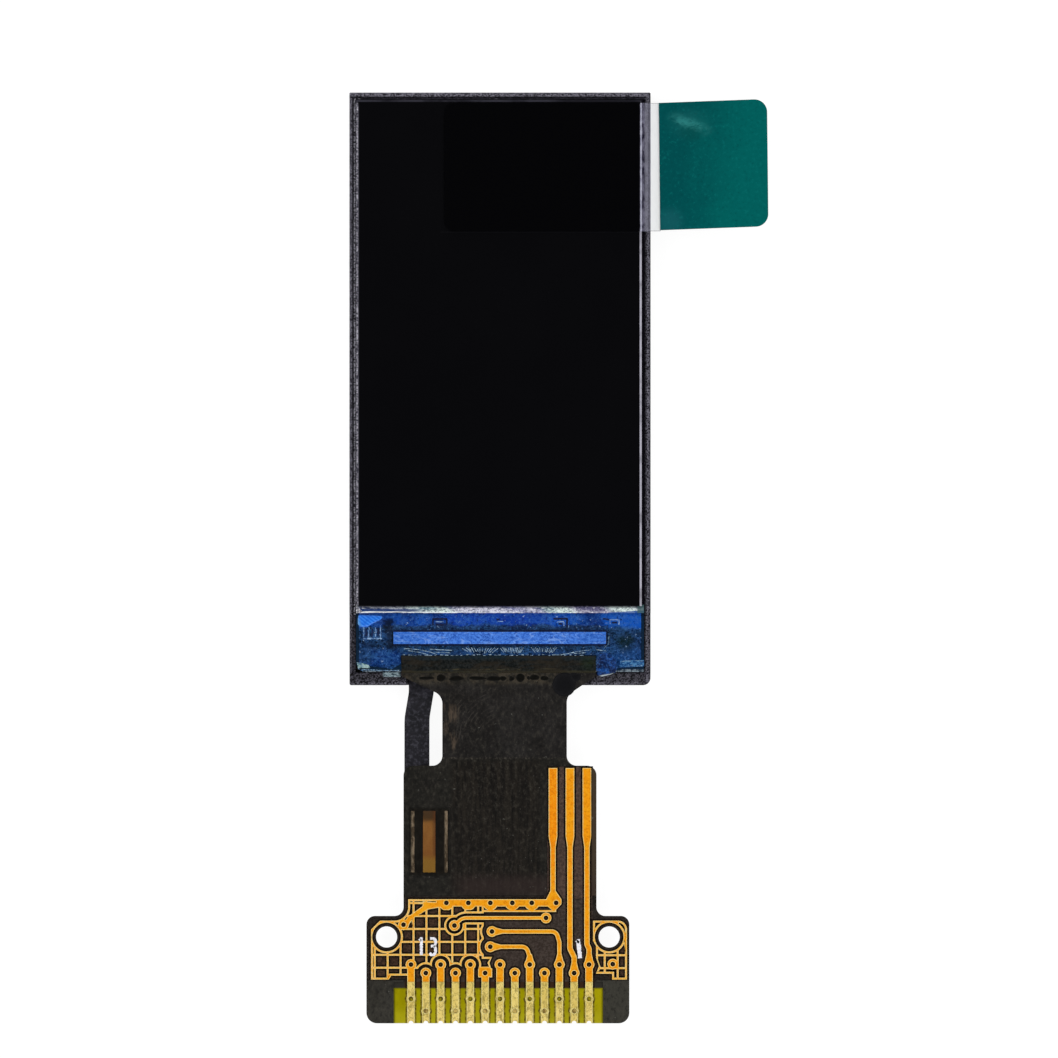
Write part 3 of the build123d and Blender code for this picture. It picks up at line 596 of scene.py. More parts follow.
def bonded_end(paint, fine):
    """The dark upper end of the base film, bonded to the glass."""
    bond = fine.shades(0.4, 0.65, (14, 17, 17), (38, 41, 41))
    glow = paint.y.rise(-12.85, -12.65)
    bond = bond.tint(glow * 0.5, (28, 44, 54))
    patchy = paint.noise(2.2, 4, 0.7, seed=27).rise(0.4, 0.6)
    level = paint.y + (paint.noise(1.1, 3, 0.6, seed=33) - 0.5) * 0.22
    seam_line = level.band(-13.26, -13.2, 0.05) * abs(paint.x).fall(2.6, 3)
    seam = level.band(-13.44, -13.3, 0.1) * 0.6 | seam_line * patchy.rise(0.2, 0.9, 0.15, 1)
    bond = bond.tint(seam, (64, 60, 46))
    brown = paint.noise(1.8, 4, 0.7, (0.4, 1.6), seed=23).rise(0.45, 0.62)
    bond = bond.tint(brown * 0.6, (44, 38, 30))
    green_end = paint.spot(4.2, -12.9, 0.05, 0.6) * patchy
    return bond.tint(green_end * 0.35, (34, 50, 30))


def flex_base():
    paint = Paint("base_film", roughness=0.36, specular=0.05)
    fine = paint.noise(9, 4, 0.75)
    window = paint.area(-5.02, 4.86, -30.5, REAR_FILM_EDGE, 0.03)
    paint.colour(under_coverlay(paint, fine).tint(window, olive_window(paint, window, fine)))
    below_film = paint.y.band(REAR_FILM_EDGE, FILM_EDGE, 0.03)
    paint.tint(below_film, (48, 46, 41))
    shadow_line = paint.area(-4.5, 4.45, REAR_FILM_EDGE - 0.02, FILM_EDGE + 0.02, 0.06) * below_film
    paint.tint(shadow_line, (56, 38, 25))
    bond_zone = paint.y.rise(-13.5, -13.4)
    paint.tint(bond_zone, bonded_end(paint, fine))
    paint.bump(fine, 0.01, 0.3)
    return paint


def rear_coverlay():
    paint = Paint("black_coverlay", roughness=0.45, specular=0.35)
    fine = paint.noise(11, 3, 0.6)
    paint.colour(paint.noise(0.8, 4, 0.6).shades(0.35, 0.65, (22, 21, 21), (36, 34, 34)))
    paint.tint(fine.rise(0.62, 0.72, 0, 0.5), (66, 64, 62))
    paint.bump(fine, 0.01, 0.4)
    return paint


def neck_scratches(paint):
    """Fine arcs scratched into the film on the neck, broken up and fading out."""
    rings = paint.tree.nodes.new("ShaderNodeTexWave")
    rings.wave_type = "RINGS"
    rings.rings_direction = "SPHERICAL"
    set_inputs(rings, {"Scale": 1.9, "Distortion": 2.6, "Detail": 3})
    centre = paint.tree.nodes.new("ShaderNodeMapping")
    set_inputs(centre, {"Location": (-0.3, 16.6, 0), "Scale": (1, 1, 0)})
    put(paint.place, centre.inputs[0])
    paint.tree.links.new(centre.outputs[0], rings.inputs["Vector"])
    arcs = Field(paint.tree, rings.outputs["Fac"]).rise(0.8, 0.97)
    slope = paint.y + paint.x * -0.8
    upper_left = paint.area(-2.3, -0.2, -16.7, -14.1, 0.8) * slope.rise(-15.9, -14.8)
    broken = paint.noise(2.2, 4, 0.6, warp=0.5, seed=8).rise(0.46, 0.62)
    return arcs * upper_left * broken


def front_coverlay():
    paint = Paint("front_coverlay", roughness=0.38, specular=0.2)
    x, y = paint.x, paint.y
    cloud = paint.noise(0.7, 4, 0.6).rise(0.35, 0.65)
    fine = paint.noise(10, 4, 0.75)
    streaks = paint.noise(1, 4, 0.65, (4.6, 0.4), seed=6)
    on_traces = paint.area(-2.3, 1.9, -24, -17.5, 0.4)
    dark_streak = paint.noise(1, 3, 0.6, (6.5, 0.35), seed=11).rise(0.55, 0.64)
    body = streaks.shades(0.42, 0.6, (20, 17, 14), (32, 28, 23))
    body = body.tint(dark_streak * on_traces * 0.7, (8, 7, 6))
    paint.colour(cloud.blend((24, 23, 20), (33, 31, 27)).tint(on_traces, body))
    on_neck = y.rise(-17.5, -17.3)
    paint.tint(on_neck, cloud.blend((24, 22, 21), (35, 33, 32)))
    on_ears = y.fall(-27.95, -27.85)
    paint.tint(on_ears, cloud.blend((44, 42, 37), (53, 51, 46)))
    right_ear = x.rise(3, 5) * on_ears
    paint.tint(right_ear * 0.7, (58, 57, 50))
    warm = paint.noise(2.2, 4, 0.65, seed=18).shades(0.4, 0.6, (32, 30, 25), (64, 57, 46))
    under_glass = y.band(-13.9, -13.32, 0.3) * x.fall(2.4, 3)
    paint.tint(under_glass * 0.8, warm)
    paint.tint(fine.rise(0.55, 0.7) * 0.35, (70, 66, 60))
    mottle = paint.noise(5.5, 4, 0.75, (1, 0.6), seed=25)
    paint.tint(mottle.rise(0.5, 0.68, 0, 0.3), (78, 74, 66))
    paint.tint(mottle.rise(0.5, 0.34, 0, 0.6), (8, 7, 6))
    right_side = x.rise(4.3, 4.34) * y.band(-24, -17.9, 0.3)
    paint.tint(right_side * 0.8, (66, 54, 40))
    low_warm = y.band(-23.95, -23, 0.7) * x.rise(-2.6, -1.4)
    paint.tint(low_warm * 0.45, (54, 42, 40))
    join = y.band(-17.46, -17.38, 0.05) * fine.rise(0.5, 0.62, 0, 0.6)
    paint.tint(join, (84, 78, 70))
    scratches = neck_scratches(paint)
    paint.tint(scratches * 0.3, (80, 74, 68))
    ragged = paint.noise(1.6, 4, 0.65, (2.2, 0.6), seed=12).rise(0.45, 0.65)
    worn = paint.area(-2.75, -2, -17, -14.9, 0.35) * ragged
    paint.tint(worn * 0.65, (92, 79, 66))
    speck = paint.noise(6.5, 3, 0.6, seed=15).rise(0.7, 0.74)
    paint.tint(speck * 0.6, (116, 116, 110))
    rim = abs(paint.up).fall(0.5, 0.8)
    paint.tint(rim, (30, 27, 22))
    over_mesh = y.band(-27.88, -23.9, 0.06)
    over_pins = paint.area(-4.55, 4.55, FILM_EDGE - 0.1, -27.8, 0.02)
    over_pads = paint.area(2.22, 4.33, -24, -17.8, 0.12)
    over_lands = paint.area(-4.32, -2.38, -22.95, -19.75, 0.3)
    cover = (over_mesh | over_pins | over_pads).rise(0, 1, 0.97, 0.03)
    paint.alpha(cover * over_lands.fall(0, 1, 0.3) | rim * 0.5)
    paint.bump(streaks * 0.5 + fine * 0.3 + scratches * -0.4, 0.02, 0.45)
    return paint


def copper():
    """Amber under the coverlay, dull and worn where the pins are plated."""
    paint = Paint("copper", roughness=0.34, specular=0.25)
    fine = paint.noise(8, 4, 0.75)
    cloud = paint.noise(1.1, 3, 0.6).rise(0.35, 0.65)
    amber = cloud.blend((255, 158, 2), (255, 170, 12))
    first_pad = paint.area(2.1, 2.9, -22.6, -17.8, 0.3)
    amber = amber.tint(first_pad * 0.7, (255, 142, 0))
    amber = amber.tint(fine.rise(0.51, 0.62, 0, 0.55), (255, 182, 36))
    amber = amber.tint(fine.rise(0.49, 0.38, 0, 0.6), (214, 120, 0))
    khaki = cloud.blend((220, 194, 102), (240, 216, 128))
    khaki = khaki.tint(fine.rise(0.52, 0.64, 0, 0.9), (168, 150, 78))
    stain = paint.noise(2.4, 4, 0.7, warp=0.8, seed=3).rise(0.57, 0.68)
    khaki = khaki.tint(stain * 0.5, (140, 124, 58))
    worn = paint.veins(2.2, 0.05, (1.5, 0.8), seed=17)
    khaki = khaki.tint(worn * 0.5, (112, 98, 40))
    plated = paint.y.fall(FILM_EDGE - 0.02, FILM_EDGE + 0.02)
    paint.colour(amber.tint(plated, khaki))
    paint.bump(fine, 0.01, 0.3)
    return paint


def relief_shadow():
    """Painted shadow beside each line of copper, where the coverlay rises over it; amber-brown where the
    window is lit through.
    """
    paint = Paint("relief_shadow", roughness=0.5, specular=0.1)
    covered = paint.noise(9, 4, 0.7).shades(0.35, 0.65, (10, 6, 3), (28, 18, 11))
    bare = paint.noise(5, 4, 0.7).shades(0.4, 0.6, (88, 74, 12), (144, 130, 26))
    under_film = paint.y.rise(REAR_FILM_EDGE - 0.03, REAR_FILM_EDGE)
    paint.colour(bare.tint(under_film, covered))
    return paint


def copper_edge_highlight():
    # Painted highlights along the copper's edges, where the coverlay rises over them; pale on the bare ends
    # of the pins
    paint = Paint("copper_edge_highlight", roughness=0.35, specular=0.2)
    grain = paint.noise(9, 4, 0.7).rise(0.35, 0.65)
    covered = grain.blend((255, 204, 92), (255, 232, 160))
    bare = grain.blend((196, 180, 104), (240, 228, 160))
    under_film = paint.y.rise(FILM_EDGE - 0.03, FILM_EDGE + 0.03)
    paint.colour(bare.tint(under_film, covered))
    return paint


def tail_land_copper():
    paint = Paint("tail_land", roughness=0.4)
    x, y = paint.x, paint.y
    cloud = paint.noise(1.4, 4, 0.65, (1, 0.6))
    paint.colour(cloud.shades(0.35, 0.65, (214, 132, 48), (236, 160, 72)))
    low = y.fall(-22.3, -21.9)
    paint.tint(low * 0.75, (230, 174, 58))
    # Painted shade: the land darkens to brown towards its top, in the soft shadow of the window's upper
    # edge
    high = (y + cloud * 0.6).rise(-20.2, -19.9)
    paint.tint(high * 0.85, (84, 62, 30))
    right_side = x.rise(-3.25, -3.1) * y.rise(-22.2, -21.9)
    paint.tint(right_side * 0.6, (150, 82, 26))
    return paint


def pale_land():
    paint = Paint("pale_land", roughness=0.45)
    worn = paint.noise(3, 4, 0.7, (1.5, 0.7))
    paint.colour(worn.shades(0.4, 0.6, (116, 94, 66), (226, 198, 162)))
    dark_side = paint.x.fall(-4.2, -4.14) | paint.x.band(-2.7, -2.59, 0.03)
    paint.tint(dark_side * 0.75, (48, 40, 28))
    return paint


# What each solid wears


PINS = ["pin_%02d" % number for number in (1, 2, 3, 4, 5, 6, 7, 9, 10, 11, 12)]
TRACES = PINS + ["ground_copper", "ground_mesh_right", "sense_trace"]
SCREEN = (0.35, 2, 0.5)

frame_plastic().wear("backlight_frame")
reflector_silver().wear("reflector_film")
cloudy("clear_acrylic", 0.12, (5, 1, 0.4), (214, 224, 228), (236, 241, 243)).wear("light_guide_plate")
cloudy("frosted_film", 0.6, (8, 4, 0.7), (228, 231, 234), (242, 243, 245)).wear("diffuser_film")
prism_film().wear("lower_prism_film", "upper_prism_film")
cloudy("black_tape", 0.5, (7, 3), (12, 12, 13), (26, 26, 27)).wear("rim_tape")
cloudy("white_housing", 0.4, (6, 3), (226, 226, 221), (242, 242, 238)).wear("led_housing")
cloudy("yellow_phosphor", 0.3, (9, 4), (222, 190, 50), (240, 214, 84)).wear("led_phosphor")
solder().wear("led_joint_left", "led_joint_right", "joint_solder_1", "joint_solder_2")
strip_black().wear("backlight_flex")
cloudy("front_polarizer", 0.16, SCREEN, (6, 6, 8), (10, 10, 12), 0.05).wear("front_polarizer")
cloudy("rear_polarizer", 0.16, SCREEN, (7, 7, 9), (10, 10, 12), 0.05).wear("rear_polarizer")
protective_film().wear("protective_film")
filter_glass().wear("filter_glass")
array_glass().wear("array_glass")
ledge_resin().wear("ledge_sealant")
chip_silicon().wear("driver_chip")
cloudy("bond_film", 0.35, (5, 3), (6, 10, 22), (16, 22, 36)).wear("chip_bond_film", "flex_bond_film")
flex_base().wear("flex_base_film")
rear_coverlay().wear("flex_rear_coverlay")
copper().wear(*TRACES, "joint_pad_1", "joint_pad_2")
tail_land_copper().wear("tail_land")
pale_land().wear("tail_side_land_left", "tail_side_land_right")
grip_green().wear("pull_tab_grip")


# How the scene's own pieces are built


def add_object(name, data):
    item = bpy.data.objects.new(name, data)
    bpy.context.scene.collection.objects.link(item)
    return item


def make_piece(name, mesh_builder, paint, replaced=()):
    """A new mesh piece that rides on the part. mesh_builder fills a bmesh in millimetres."""
    work = bmesh.new()
    mesh_builder(work)
    bmesh.ops.scale(work, vec=(MM, MM, MM), verts=work.verts)
    bmesh.ops.recalc_face_normals(work, faces=work.faces)
    mesh = bpy.data.meshes.new(name)
    work.to_mesh(mesh)
    work.free()
    mesh.materials.append(paint.material)
    piece = add_object(name, mesh)
    if replaced:
        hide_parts(*replaced)
    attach(piece, "root")
    return piece


def outline_loops(node):
    """The boundary loops of a flat node's top face, in millimetres, with its inside on the left."""
    mesh = nodes[node].data
    top = max(vert.co.z for vert in mesh.vertices)

    def corner(index):
        spot = mesh.vertices[index].co
        return (round(spot.x / MM, 4), round(spot.y / MM, 4))

    edges = set()
    for face in mesh.polygons:
        corners = list(face.vertices)
        if face.normal.z < 0.9 or any(mesh.vertices[index].co.z < top - 1e-6 for index in corners):
            continue
        for first, second in zip(corners, corners[1:] + corners[:1]):
            edges.add((corner(first), corner(second)))
    ahead = {}
    for first, second in sorted(edges):
        if (second, first) not in edges:
            ahead.setdefault(first, []).append(second)
    loops = []
    while ahead:
        start = min(ahead)
        loop = [start]
        while True:
            options = ahead[loop[-1]]
            following = options.pop()
            if not options:
                del ahead[loop[-1]]
            if following == start:
                break
            loop.append(following)
            if following not in ahead:
                break
        loops.append(loop)
    return loops


def join_rings(work, first, second):
    """A wall of faces between two rings with equal numbers of corners."""
    for index in range(len(first)):
        after = (index + 1) % len(first)
        work.faces.new((first[index], first[after], second[after], second[index]))


def add_border(work, loop, near, far, height):
    """A strip along a loop, from near to far outside it. Negative distances lie inside."""
    turned_back = 0.3
    longest_mitre = 2.2
    beside_solder = SOLDER_EDGE + 0.13
    count = len(loop)
    inner = []
    outer = []
    for index in range(count):
        before = loop[index - 1]
        here = loop[index]
        after = loop[(index + 1) % count]
        first = math.atan2(here[1] - before[1], here[0] - before[0])
        second = math.atan2(after[1] - here[1], after[0] - here[0])
        normal = (math.sin(first) + math.sin(second), -math.cos(first) - math.cos(second))
        length = math.hypot(*normal)
        if length < turned_back:
            normal = (math.sin(first), -math.cos(first))
            length = 1
        mitre = min(2 / (length * length), longest_mitre)
        normal = (normal[0] * mitre, normal[1] * mitre)
        for row, reach in ((inner, near), (outer, far)):
            x = here[0] + normal[0] * reach
            y = max(here[1] + normal[1] * reach, SOLDER_EDGE)
            row.append(work.verts.new((x, y, height)))
    for index in range(count):
        after = (index + 1) % count
        along_end = max(loop[index][1], loop[after][1]) < beside_solder
        upright = abs(loop[index][0] - loop[after][0]) < HAIR
        if along_end and not upright:
            continue
        work.faces.new((inner[index], outer[index], outer[after], inner[after]))


def borders(near, far, height, names):
    def build(work):
        for node in names:
            for loop in outline_loops(node):
                add_border(work, loop, near, far, height)

    return build


def ribbon(work, points, width, bottom, top, ragged=0):
    """A drawn line with a little thickness and, if asked for, a ragged edge."""
    step = 0.05
    places = []
    for (x0, y0), (x1, y1) in zip(points, points[1:]):
        pieces = max(1, round(math.hypot(x1 - x0, y1 - y0) / step))
        for part in range(pieces):
            places.append((x0 + (x1 - x0) * part / pieces, y0 + (y1 - y0) * part / pieces))
    places.append(points[-1])
    rows = []
    for index, (x, y) in enumerate(places):
        before = places[max(index - 1, 0)]
        after = places[min(index + 1, len(places) - 1)]
        angle = math.atan2(after[1] - before[1], after[0] - before[0])
        row = []
        for side in (-1, 1):
            reach = side * (width / 2 + random.uniform(-ragged, ragged))
            for height in (top, bottom):
                spot = (x - math.sin(angle) * reach, y + math.cos(angle) * reach, height)
                row.append(work.verts.new(spot))
        rows.append(row)
    for first, second in zip(rows, rows[1:]):
        work.faces.new((first[0], second[0], second[2], first[2]))
        work.faces.new((first[1], first[3], second[3], second[1]))
        work.faces.new((first[0], first[1], second[1], second[0]))
        work.faces.new((first[2], second[2], second[3], first[3]))
    for row in (rows[0], rows[-1]):
        work.faces.new((row[0], row[2], row[3], row[1]))


def strokes(lines, width, bottom, top, ragged=0):
    def build(work):
        for points in lines:
            ribbon(work, points, width, bottom, top, ragged)

    return build


def dome(work, x, y, width, depth, bottom, height, wobble=0, rings=4, spokes=20):
    """A low blob with an uneven outline."""
    rough = [1 + random.uniform(-wobble, wobble) for spoke in range(spokes)]
    edge = []
    for index in range(spokes):
        edge.append((rough[index - 1] + 2 * rough[index] + rough[(index + 1) % spokes]) / 4)
    rows = []
    for ring in range(rings):
        share = ring / rings
        reach = math.cos(share * math.pi / 2)
        level = bottom + math.sin(share * math.pi / 2) * height
        row = []
        for spoke in range(spokes):
            turn = 2 * math.pi * spoke / spokes
            across = math.cos(turn) * reach * edge[spoke] * width / 2
            along = math.sin(turn) * reach * edge[spoke] * depth / 2
            row.append(work.verts.new((x + across, y + along, level)))
        rows.append(row)
    crown = work.verts.new((x, y, bottom + height))
    for first, second in zip(rows, rows[1:]):
        join_rings(work, first, second)
    for spoke in range(spokes):
        work.faces.new((rows[-1][spoke], rows[-1][(spoke + 1) % spokes], crown))
    work.faces.new(list(reversed(rows[0])))


def mound(work, outline, bottom, height, inset=0.5, rings=3):
    """A low mound over an outline, flat on top."""
    centre_x = sum(x for x, y in outline) / len(outline)
    centre_y = sum(y for x, y in outline) / len(outline)
    rows = []
    for ring in range(rings + 1):
        share = ring / rings
        pull = inset * (1 - math.cos(share * math.pi / 2))
        lift = math.sin(share * math.pi / 2)
        row = []
        for x, y in outline:
            spot = (x + (centre_x - x) * pull, y + (centre_y - y) * pull, bottom + lift * height)
            row.append(work.verts.new(spot))
        rows.append(row)
    for first, second in zip(rows, rows[1:]):
        join_rings(work, first, second)
    work.faces.new(rows[-1])
    work.faces.new(list(reversed(rows[0])))


def plain_ink(name, low, high, roughness=0.5):
    paint = Paint(name, roughness=roughness, specular=0.2)
    paint.colour(paint.noise(9, 4, 0.7).shades(0.35, 0.65, low, high))
    return paint


def on_part(x, y):
    """A pixel of the photograph's frame, in millimetres on the part."""
    return ((x - ORIGIN_X) / PIXELS_PER_MM, (ORIGIN_Y - y) / PIXELS_PER_MM)


def path(*places):
    return [on_part(x, y) for x, y in places]


def lines_at(*rows):
    """Lines on the part. Each row is one line: the pixels x, y, x, y and so on."""
    return [path(*zip(row[0::2], row[1::2])) for row in rows]


random.seed(41)


# The clear films, a hair clear of what they cover


def flex_film(work):
    work.from_mesh(nodes["flex_front_coverlay"].data)
    bmesh.ops.scale(work, vec=(1 / MM, 1 / MM, 1 / MM), verts=work.verts)
    bmesh.ops.remove_doubles(work, verts=work.verts, dist=1e-5)
    middle = sum(vert.co.z for vert in work.verts) / len(work.verts)
    for vert in work.verts:
        if vert.co.z < middle:
            vert.co.z += 2 * HAIR


def tape_sheet(work):
    outline = outline_loops("pull_tab_tape")[0]
    heights = [vert.co.z / MM for vert in nodes["pull_tab_tape"].data.vertices]
    rows = []
    for height in (min(heights) + 2 * HAIR, max(heights)):
        rows.append([work.verts.new((x, y, height)) for x, y in outline])
    join_rings(work, rows[0], rows[1])
    work.faces.new(rows[1])
    work.faces.new(list(reversed(rows[0])))


make_piece("flex_front_film", flex_film, front_coverlay(), ["flex_front_coverlay"])
make_piece("clear_tape", tape_sheet, tape_clear(), ["pull_tab_tape"])


# Painted shadow beside the copper and painted highlights along its edges


relief_shadow_strips = borders(near=-0.01, far=0.085, height=BASE_FILM_TOP + HAIR, names=TRACES)
edge_highlight_strips = borders(near=-0.032, far=-0.002, height=COPPER_TOP + HAIR, names=TRACES)
make_piece("copper_relief_shadow", relief_shadow_strips, relief_shadow())
make_piece("copper_edge_highlights", edge_highlight_strips, copper_edge_highlight())


# Solder that ran up into the lower holes of every other pin


def hole_fillings(work):
    width = 0.2
    bottom = BASE_FILM_TOP + 2 * HAIR
    for step in range(6):
        x = FIRST_PIN + PIN_PITCH * (2 * step + 1)
        dome(work, x, LOWER_HOLE_Y, width, width, bottom, 0.013, wobble=0.1, rings=3, spokes=16)


def filled_hole():
    paint = Paint("filled_hole", roughness=0.4, specular=0.2)
    paint.colour(paint.noise(3.2, 3, 0.6).shades(0.42, 0.58, (130, 107, 50), (196, 170, 94)))
    return paint


make_piece("pin_hole_fillings", hole_fillings, filled_hole())


# Pin numbers in white ink


def shifted(lines, x, y):
    return [[(x + across, y + along) for across, along in points] for points in lines]


# Bottom and top of the ink, and the strokes of each figure from its lower left corner
INK = (FLEX_TOP + HAIR, FLEX_TOP + 0.012)
ONE = [[(0.12, 0.84), (0.12, 0)], [(0.02, 0.68), (0.1, 0.76)]]
LAST_ONE = [[(0.05, 0.9), (0.14, 0)], [(-0.02, 0.74), (0.05, 0.84)]]
THREE = [
    [(0.02, 0.8), (0.2, 0.8), (0.27, 0.72), (0.27, 0.54), (0.2, 0.45), (0.06, 0.44)],
    [(0.2, 0.45), (0.28, 0.36), (0.28, 0.14), (0.2, 0.04), (0.06, 0.04), (0, 0.12)],
]
thirteen = shifted(ONE, -3.83, -26.7) + shifted(THREE, -3.32, -26.72)
lone_one = shifted(LAST_ONE, 3.64, -26.85)
ink = plain_ink("white_ink", (222, 219, 230), (250, 249, 253), 0.55)
make_piece("pin_number_13", strokes(thirteen, 0.13, *INK, 0.02), ink)
make_piece("pin_number_1", strokes(lone_one, 0.18, *INK, 0.02), ink)


# Marks on the glass ledge, seen through the resin, with painted glint lines and painted shadow lines by the
# chip


MARK_BOTTOM = LEDGE_TOP + HAIR
MARK_TOP = LEDGE_TOP + 0.006


def draw(name, lines, width, ragged, ink, top=MARK_TOP):
    """Lines on the ledge glass, of one width and raggedness."""
    make_piece(name, strokes(lines, width, MARK_BOTTOM, top, ragged), ink)


comb = lines_at(
    (363.5, 627, 363.5, 638.5), (363, 638.6, 382, 638.6), (369, 627.5, 368.6, 637.5),
    (375.8, 627.5, 375.4, 637), (380.6, 626.5, 380.4, 637.5),
)
comb_gaps = lines_at(
    (366.3, 628.5, 366.1, 636.5), (372.3, 628.5, 372.1, 636.5), (378.3, 628, 378, 636),
)
# The last two rows are painted shadow lines along the top and bottom of the chip
dark_brackets_and_chip_shadows = lines_at(
    (432.5, 619, 447.3, 619), (433, 619.5, 433, 625.5), (446.8, 619.5, 446.8, 625),
    (436, 624.6, 444.5, 624.6), (553.4, 618.8, 568, 618.8), (567, 619.3, 567, 627),
    (558.5, 624, 562.4, 624), (603, 618.8, 608.6, 619.4), (611.8, 622.6, 617.2, 622.6),
    (496.5, 619.4, 499, 619.4), (393.5, 631, 606.8, 631), (393.5, 644.8, 606.8, 644.8),
)
# Painted glint lines inside the dark brackets
bracket_glint_lines = lines_at(
    (435.4, 621.8, 443.6, 621.8), (556.8, 621.8, 563.8, 621.8), (564, 622, 564, 626),
    (609.6, 619.8, 619.2, 619.8), (610, 620.5, 610, 624), (619, 620.5, 619, 624.5),
    (497.5, 621.5, 503, 621.5), (568.8, 625.5, 568.8, 627.5),
)
draw("ledge_comb_mark", comb, 0.05, 0.02, plain_ink("comb_mark", (34, 76, 136), (140, 174, 214)))
bracket_glint = plain_ink("bracket_glint", (86, 124, 178), (162, 190, 224))
draw("ledge_bracket_glints", bracket_glint_lines, 0.04, 0.012, bracket_glint)
dark_lines_and_shadows = dark_brackets_and_chip_shadows + comb_gaps
dark_mark_and_shadow = plain_ink("dark_mark_and_shadow", (6, 14, 44), (16, 32, 78))
draw("ledge_dark_marks_and_shadows", dark_lines_and_shadows, 0.085, 0.012, dark_mark_and_shadow, MARK_TOP - 0.002)

# Traces that fan out below the chip: each fan's centre and half width, and its two levels, in pixels
FANS = ((480, 17.5), (512, 11.5), (544, 12.5))
FAN_TOP = 647.8
FAN_FOOT = 652.4
FAN_CLOSING = 0.68
fan = []
for centre, reach in FANS:
    for step in range(-6, 7):
        share = step / 6
        top = (centre + share * reach + random.uniform(-0.5, 0.5), FAN_TOP + random.uniform(-0.6, 0.8))
        foot_x = centre + share * reach * FAN_CLOSING + random.uniform(-0.6, 0.6)
        fan.append(path(top, (foot_x, FAN_FOOT + random.uniform(-1.2, 1))))
fan += lines_at(
    (404, 648.5, 418, 649.5, 430, 652, 437, 654.5), (408, 650.5, 420, 652.5, 428, 654.8),
    (430, 649.2, 452, 650.4), (434, 652.2, 450, 652.8),
    (590, 650, 578, 651.5, 566, 654, 556, 655), (586, 652.6, 574, 653.6),
    (596, 649.6, 606, 651),
)

# Contact dashes along the edge of the flex: their first place, pitch and level, in pixels
DASHES_LEFT = 402
DASH_PITCH = 5.4
DASH_LEVEL = 655.2
dashes = []
for step in range(34):
    left = DASHES_LEFT + DASH_PITCH * step + random.uniform(-1.2, 1.2)
    level = DASH_LEVEL + random.uniform(-0.7, 0.6)
    end = (left + random.uniform(1.5, 4.2), level + random.uniform(-0.3, 0.3))
    dashes.append(path((left, level), end))
draw("ledge_fan_out_traces", fan, 0.024, 0.006, plain_ink("fan_out", (40, 76, 112), (190, 220, 240)))
draw("ledge_contact_dashes", dashes, 0.035, 0.012, plain_ink("contact_dash", (36, 58, 80), (158, 184, 204)))


# Resin that stands proud of the ledge or ran over its edge, and painted glints where the ledge meets the
# frame


def resin_blob(work):
    """Bright resin on the upper left corner of the ledge."""
    patch = path(
        (358.2, 616), (359.5, 614.8), (366, 615), (374, 615.2), (381.6, 615.6),
        (382.8, 617.6), (380.8, 619.8), (376, 622), (371.5, 624.4), (367.6, 626.8),
        (363, 627.2), (359.6, 626.6), (357.8, 624), (357.8, 619),
    )
    mound(work, patch, LEDGE_TOP - 0.01, 0.04)


def resin_blob_paint():
    paint = Paint("bright_resin", roughness=0.2)
    hatch = ((paint.x + paint.y * 1.3) * 9).zigzag(1)
    paint.colour(hatch.blend((26, 104, 222), (62, 142, 244)))
    paint.tint(paint.noise(4, 3).rise(0.5, 0.7, 0, 0.5), (24, 88, 204))
    pale_end = (paint.x + paint.y * 0.3).rise(-10.05, -9.8, 0.65, 0)
    paint.tint(pale_end, (110, 170, 200))
    return paint


def corner_glint_strips(work):
    """Painted glints where the ledge meets the frame, left and right, as thin pale mounds."""
    left = path((356.8, 662.4), (364, 663.4), (369, 665), (370, 668.2), (358, 668))
    right = path((620, 660.6), (634, 660), (644, 660), (644, 666.4), (634, 667), (619, 667))
    for outline in (left, right):
        mound(work, outline, LEDGE_TOP - SUNK, 0.012)


def run_on_bar(work):
    """Resin that ran over the edge of the glass onto the moulded bar."""
    run = path((382.5, 671.6), (400.6, 671.4), (400.6, 677), (392, 677.2), (382.8, 676.8))
    mound(work, run, BAR_TOP - SUNK, 0.05)


def gel_drop(work):
    drop = path(
        (594.8, 660), (597, 653), (604, 650), (612, 652), (618, 659), (618.6, 668),
        (615.6, 672.6), (609, 675.2), (602, 676.6), (597.4, 675.4), (595.8, 671),
    )
    mound(work, drop, BAR_TOP - SUNK, 0.15, inset=0.3, rings=5)


def gel_paint():
    paint = Paint("gel_drop", roughness=0.22, specular=0.12)
    shaded_folds = paint.veins(1.6, 0.12, (1, 1.3), 1.4, seed=6)
    fine = paint.noise(9, 3, 0.7)
    patches = paint.noise(2.4, 4, 0.7, seed=12)
    paint.colour(patches.shades(0.4, 0.6, (12, 32, 72), (28, 74, 146)))
    # Painted speckle highlights
    paint.tint(fine.rise(0.5, 0.66, 0, 0.6), (64, 112, 180))
    # Painted shade in the folds of the drop
    paint.tint(shaded_folds * 0.75, (6, 20, 54))
    left_side = (paint.x + fine * 0.8).rise(5.1, 4.9)
    paint.tint(left_side * fine.rise(0.48, 0.6), (120, 160, 204))
    # Painted glint along the lower rim of the drop, broken up
    low_rim_glint = (paint.y + paint.x * -0.18).fall(-14.4, -14.34)
    broken = paint.noise(3, 3, 0.6).rise(0.36, 0.56, 0.35, 1)
    paint.tint(low_rim_glint * broken, (196, 208, 214))
    paint.bump(shaded_folds * -0.7 + fine * 0.3, 0.05, 0.6)
    return paint


def speckled(name, low, high, left_low, left_high):
    """One tint on the right half of the part, another on the left."""
    paint = Paint(name, roughness=0.25, specular=0.2)
    grain = paint.noise(9, 3, 0.75, (0.7, 1.2)).rise(0.42, 0.58)
    right_half = paint.x.rise(-0.1, 0.1)
    paint.colour(grain.blend(left_low, left_high).tint(right_half, grain.blend(low, high)))
    return paint


make_piece("resin_blob", resin_blob, resin_blob_paint())
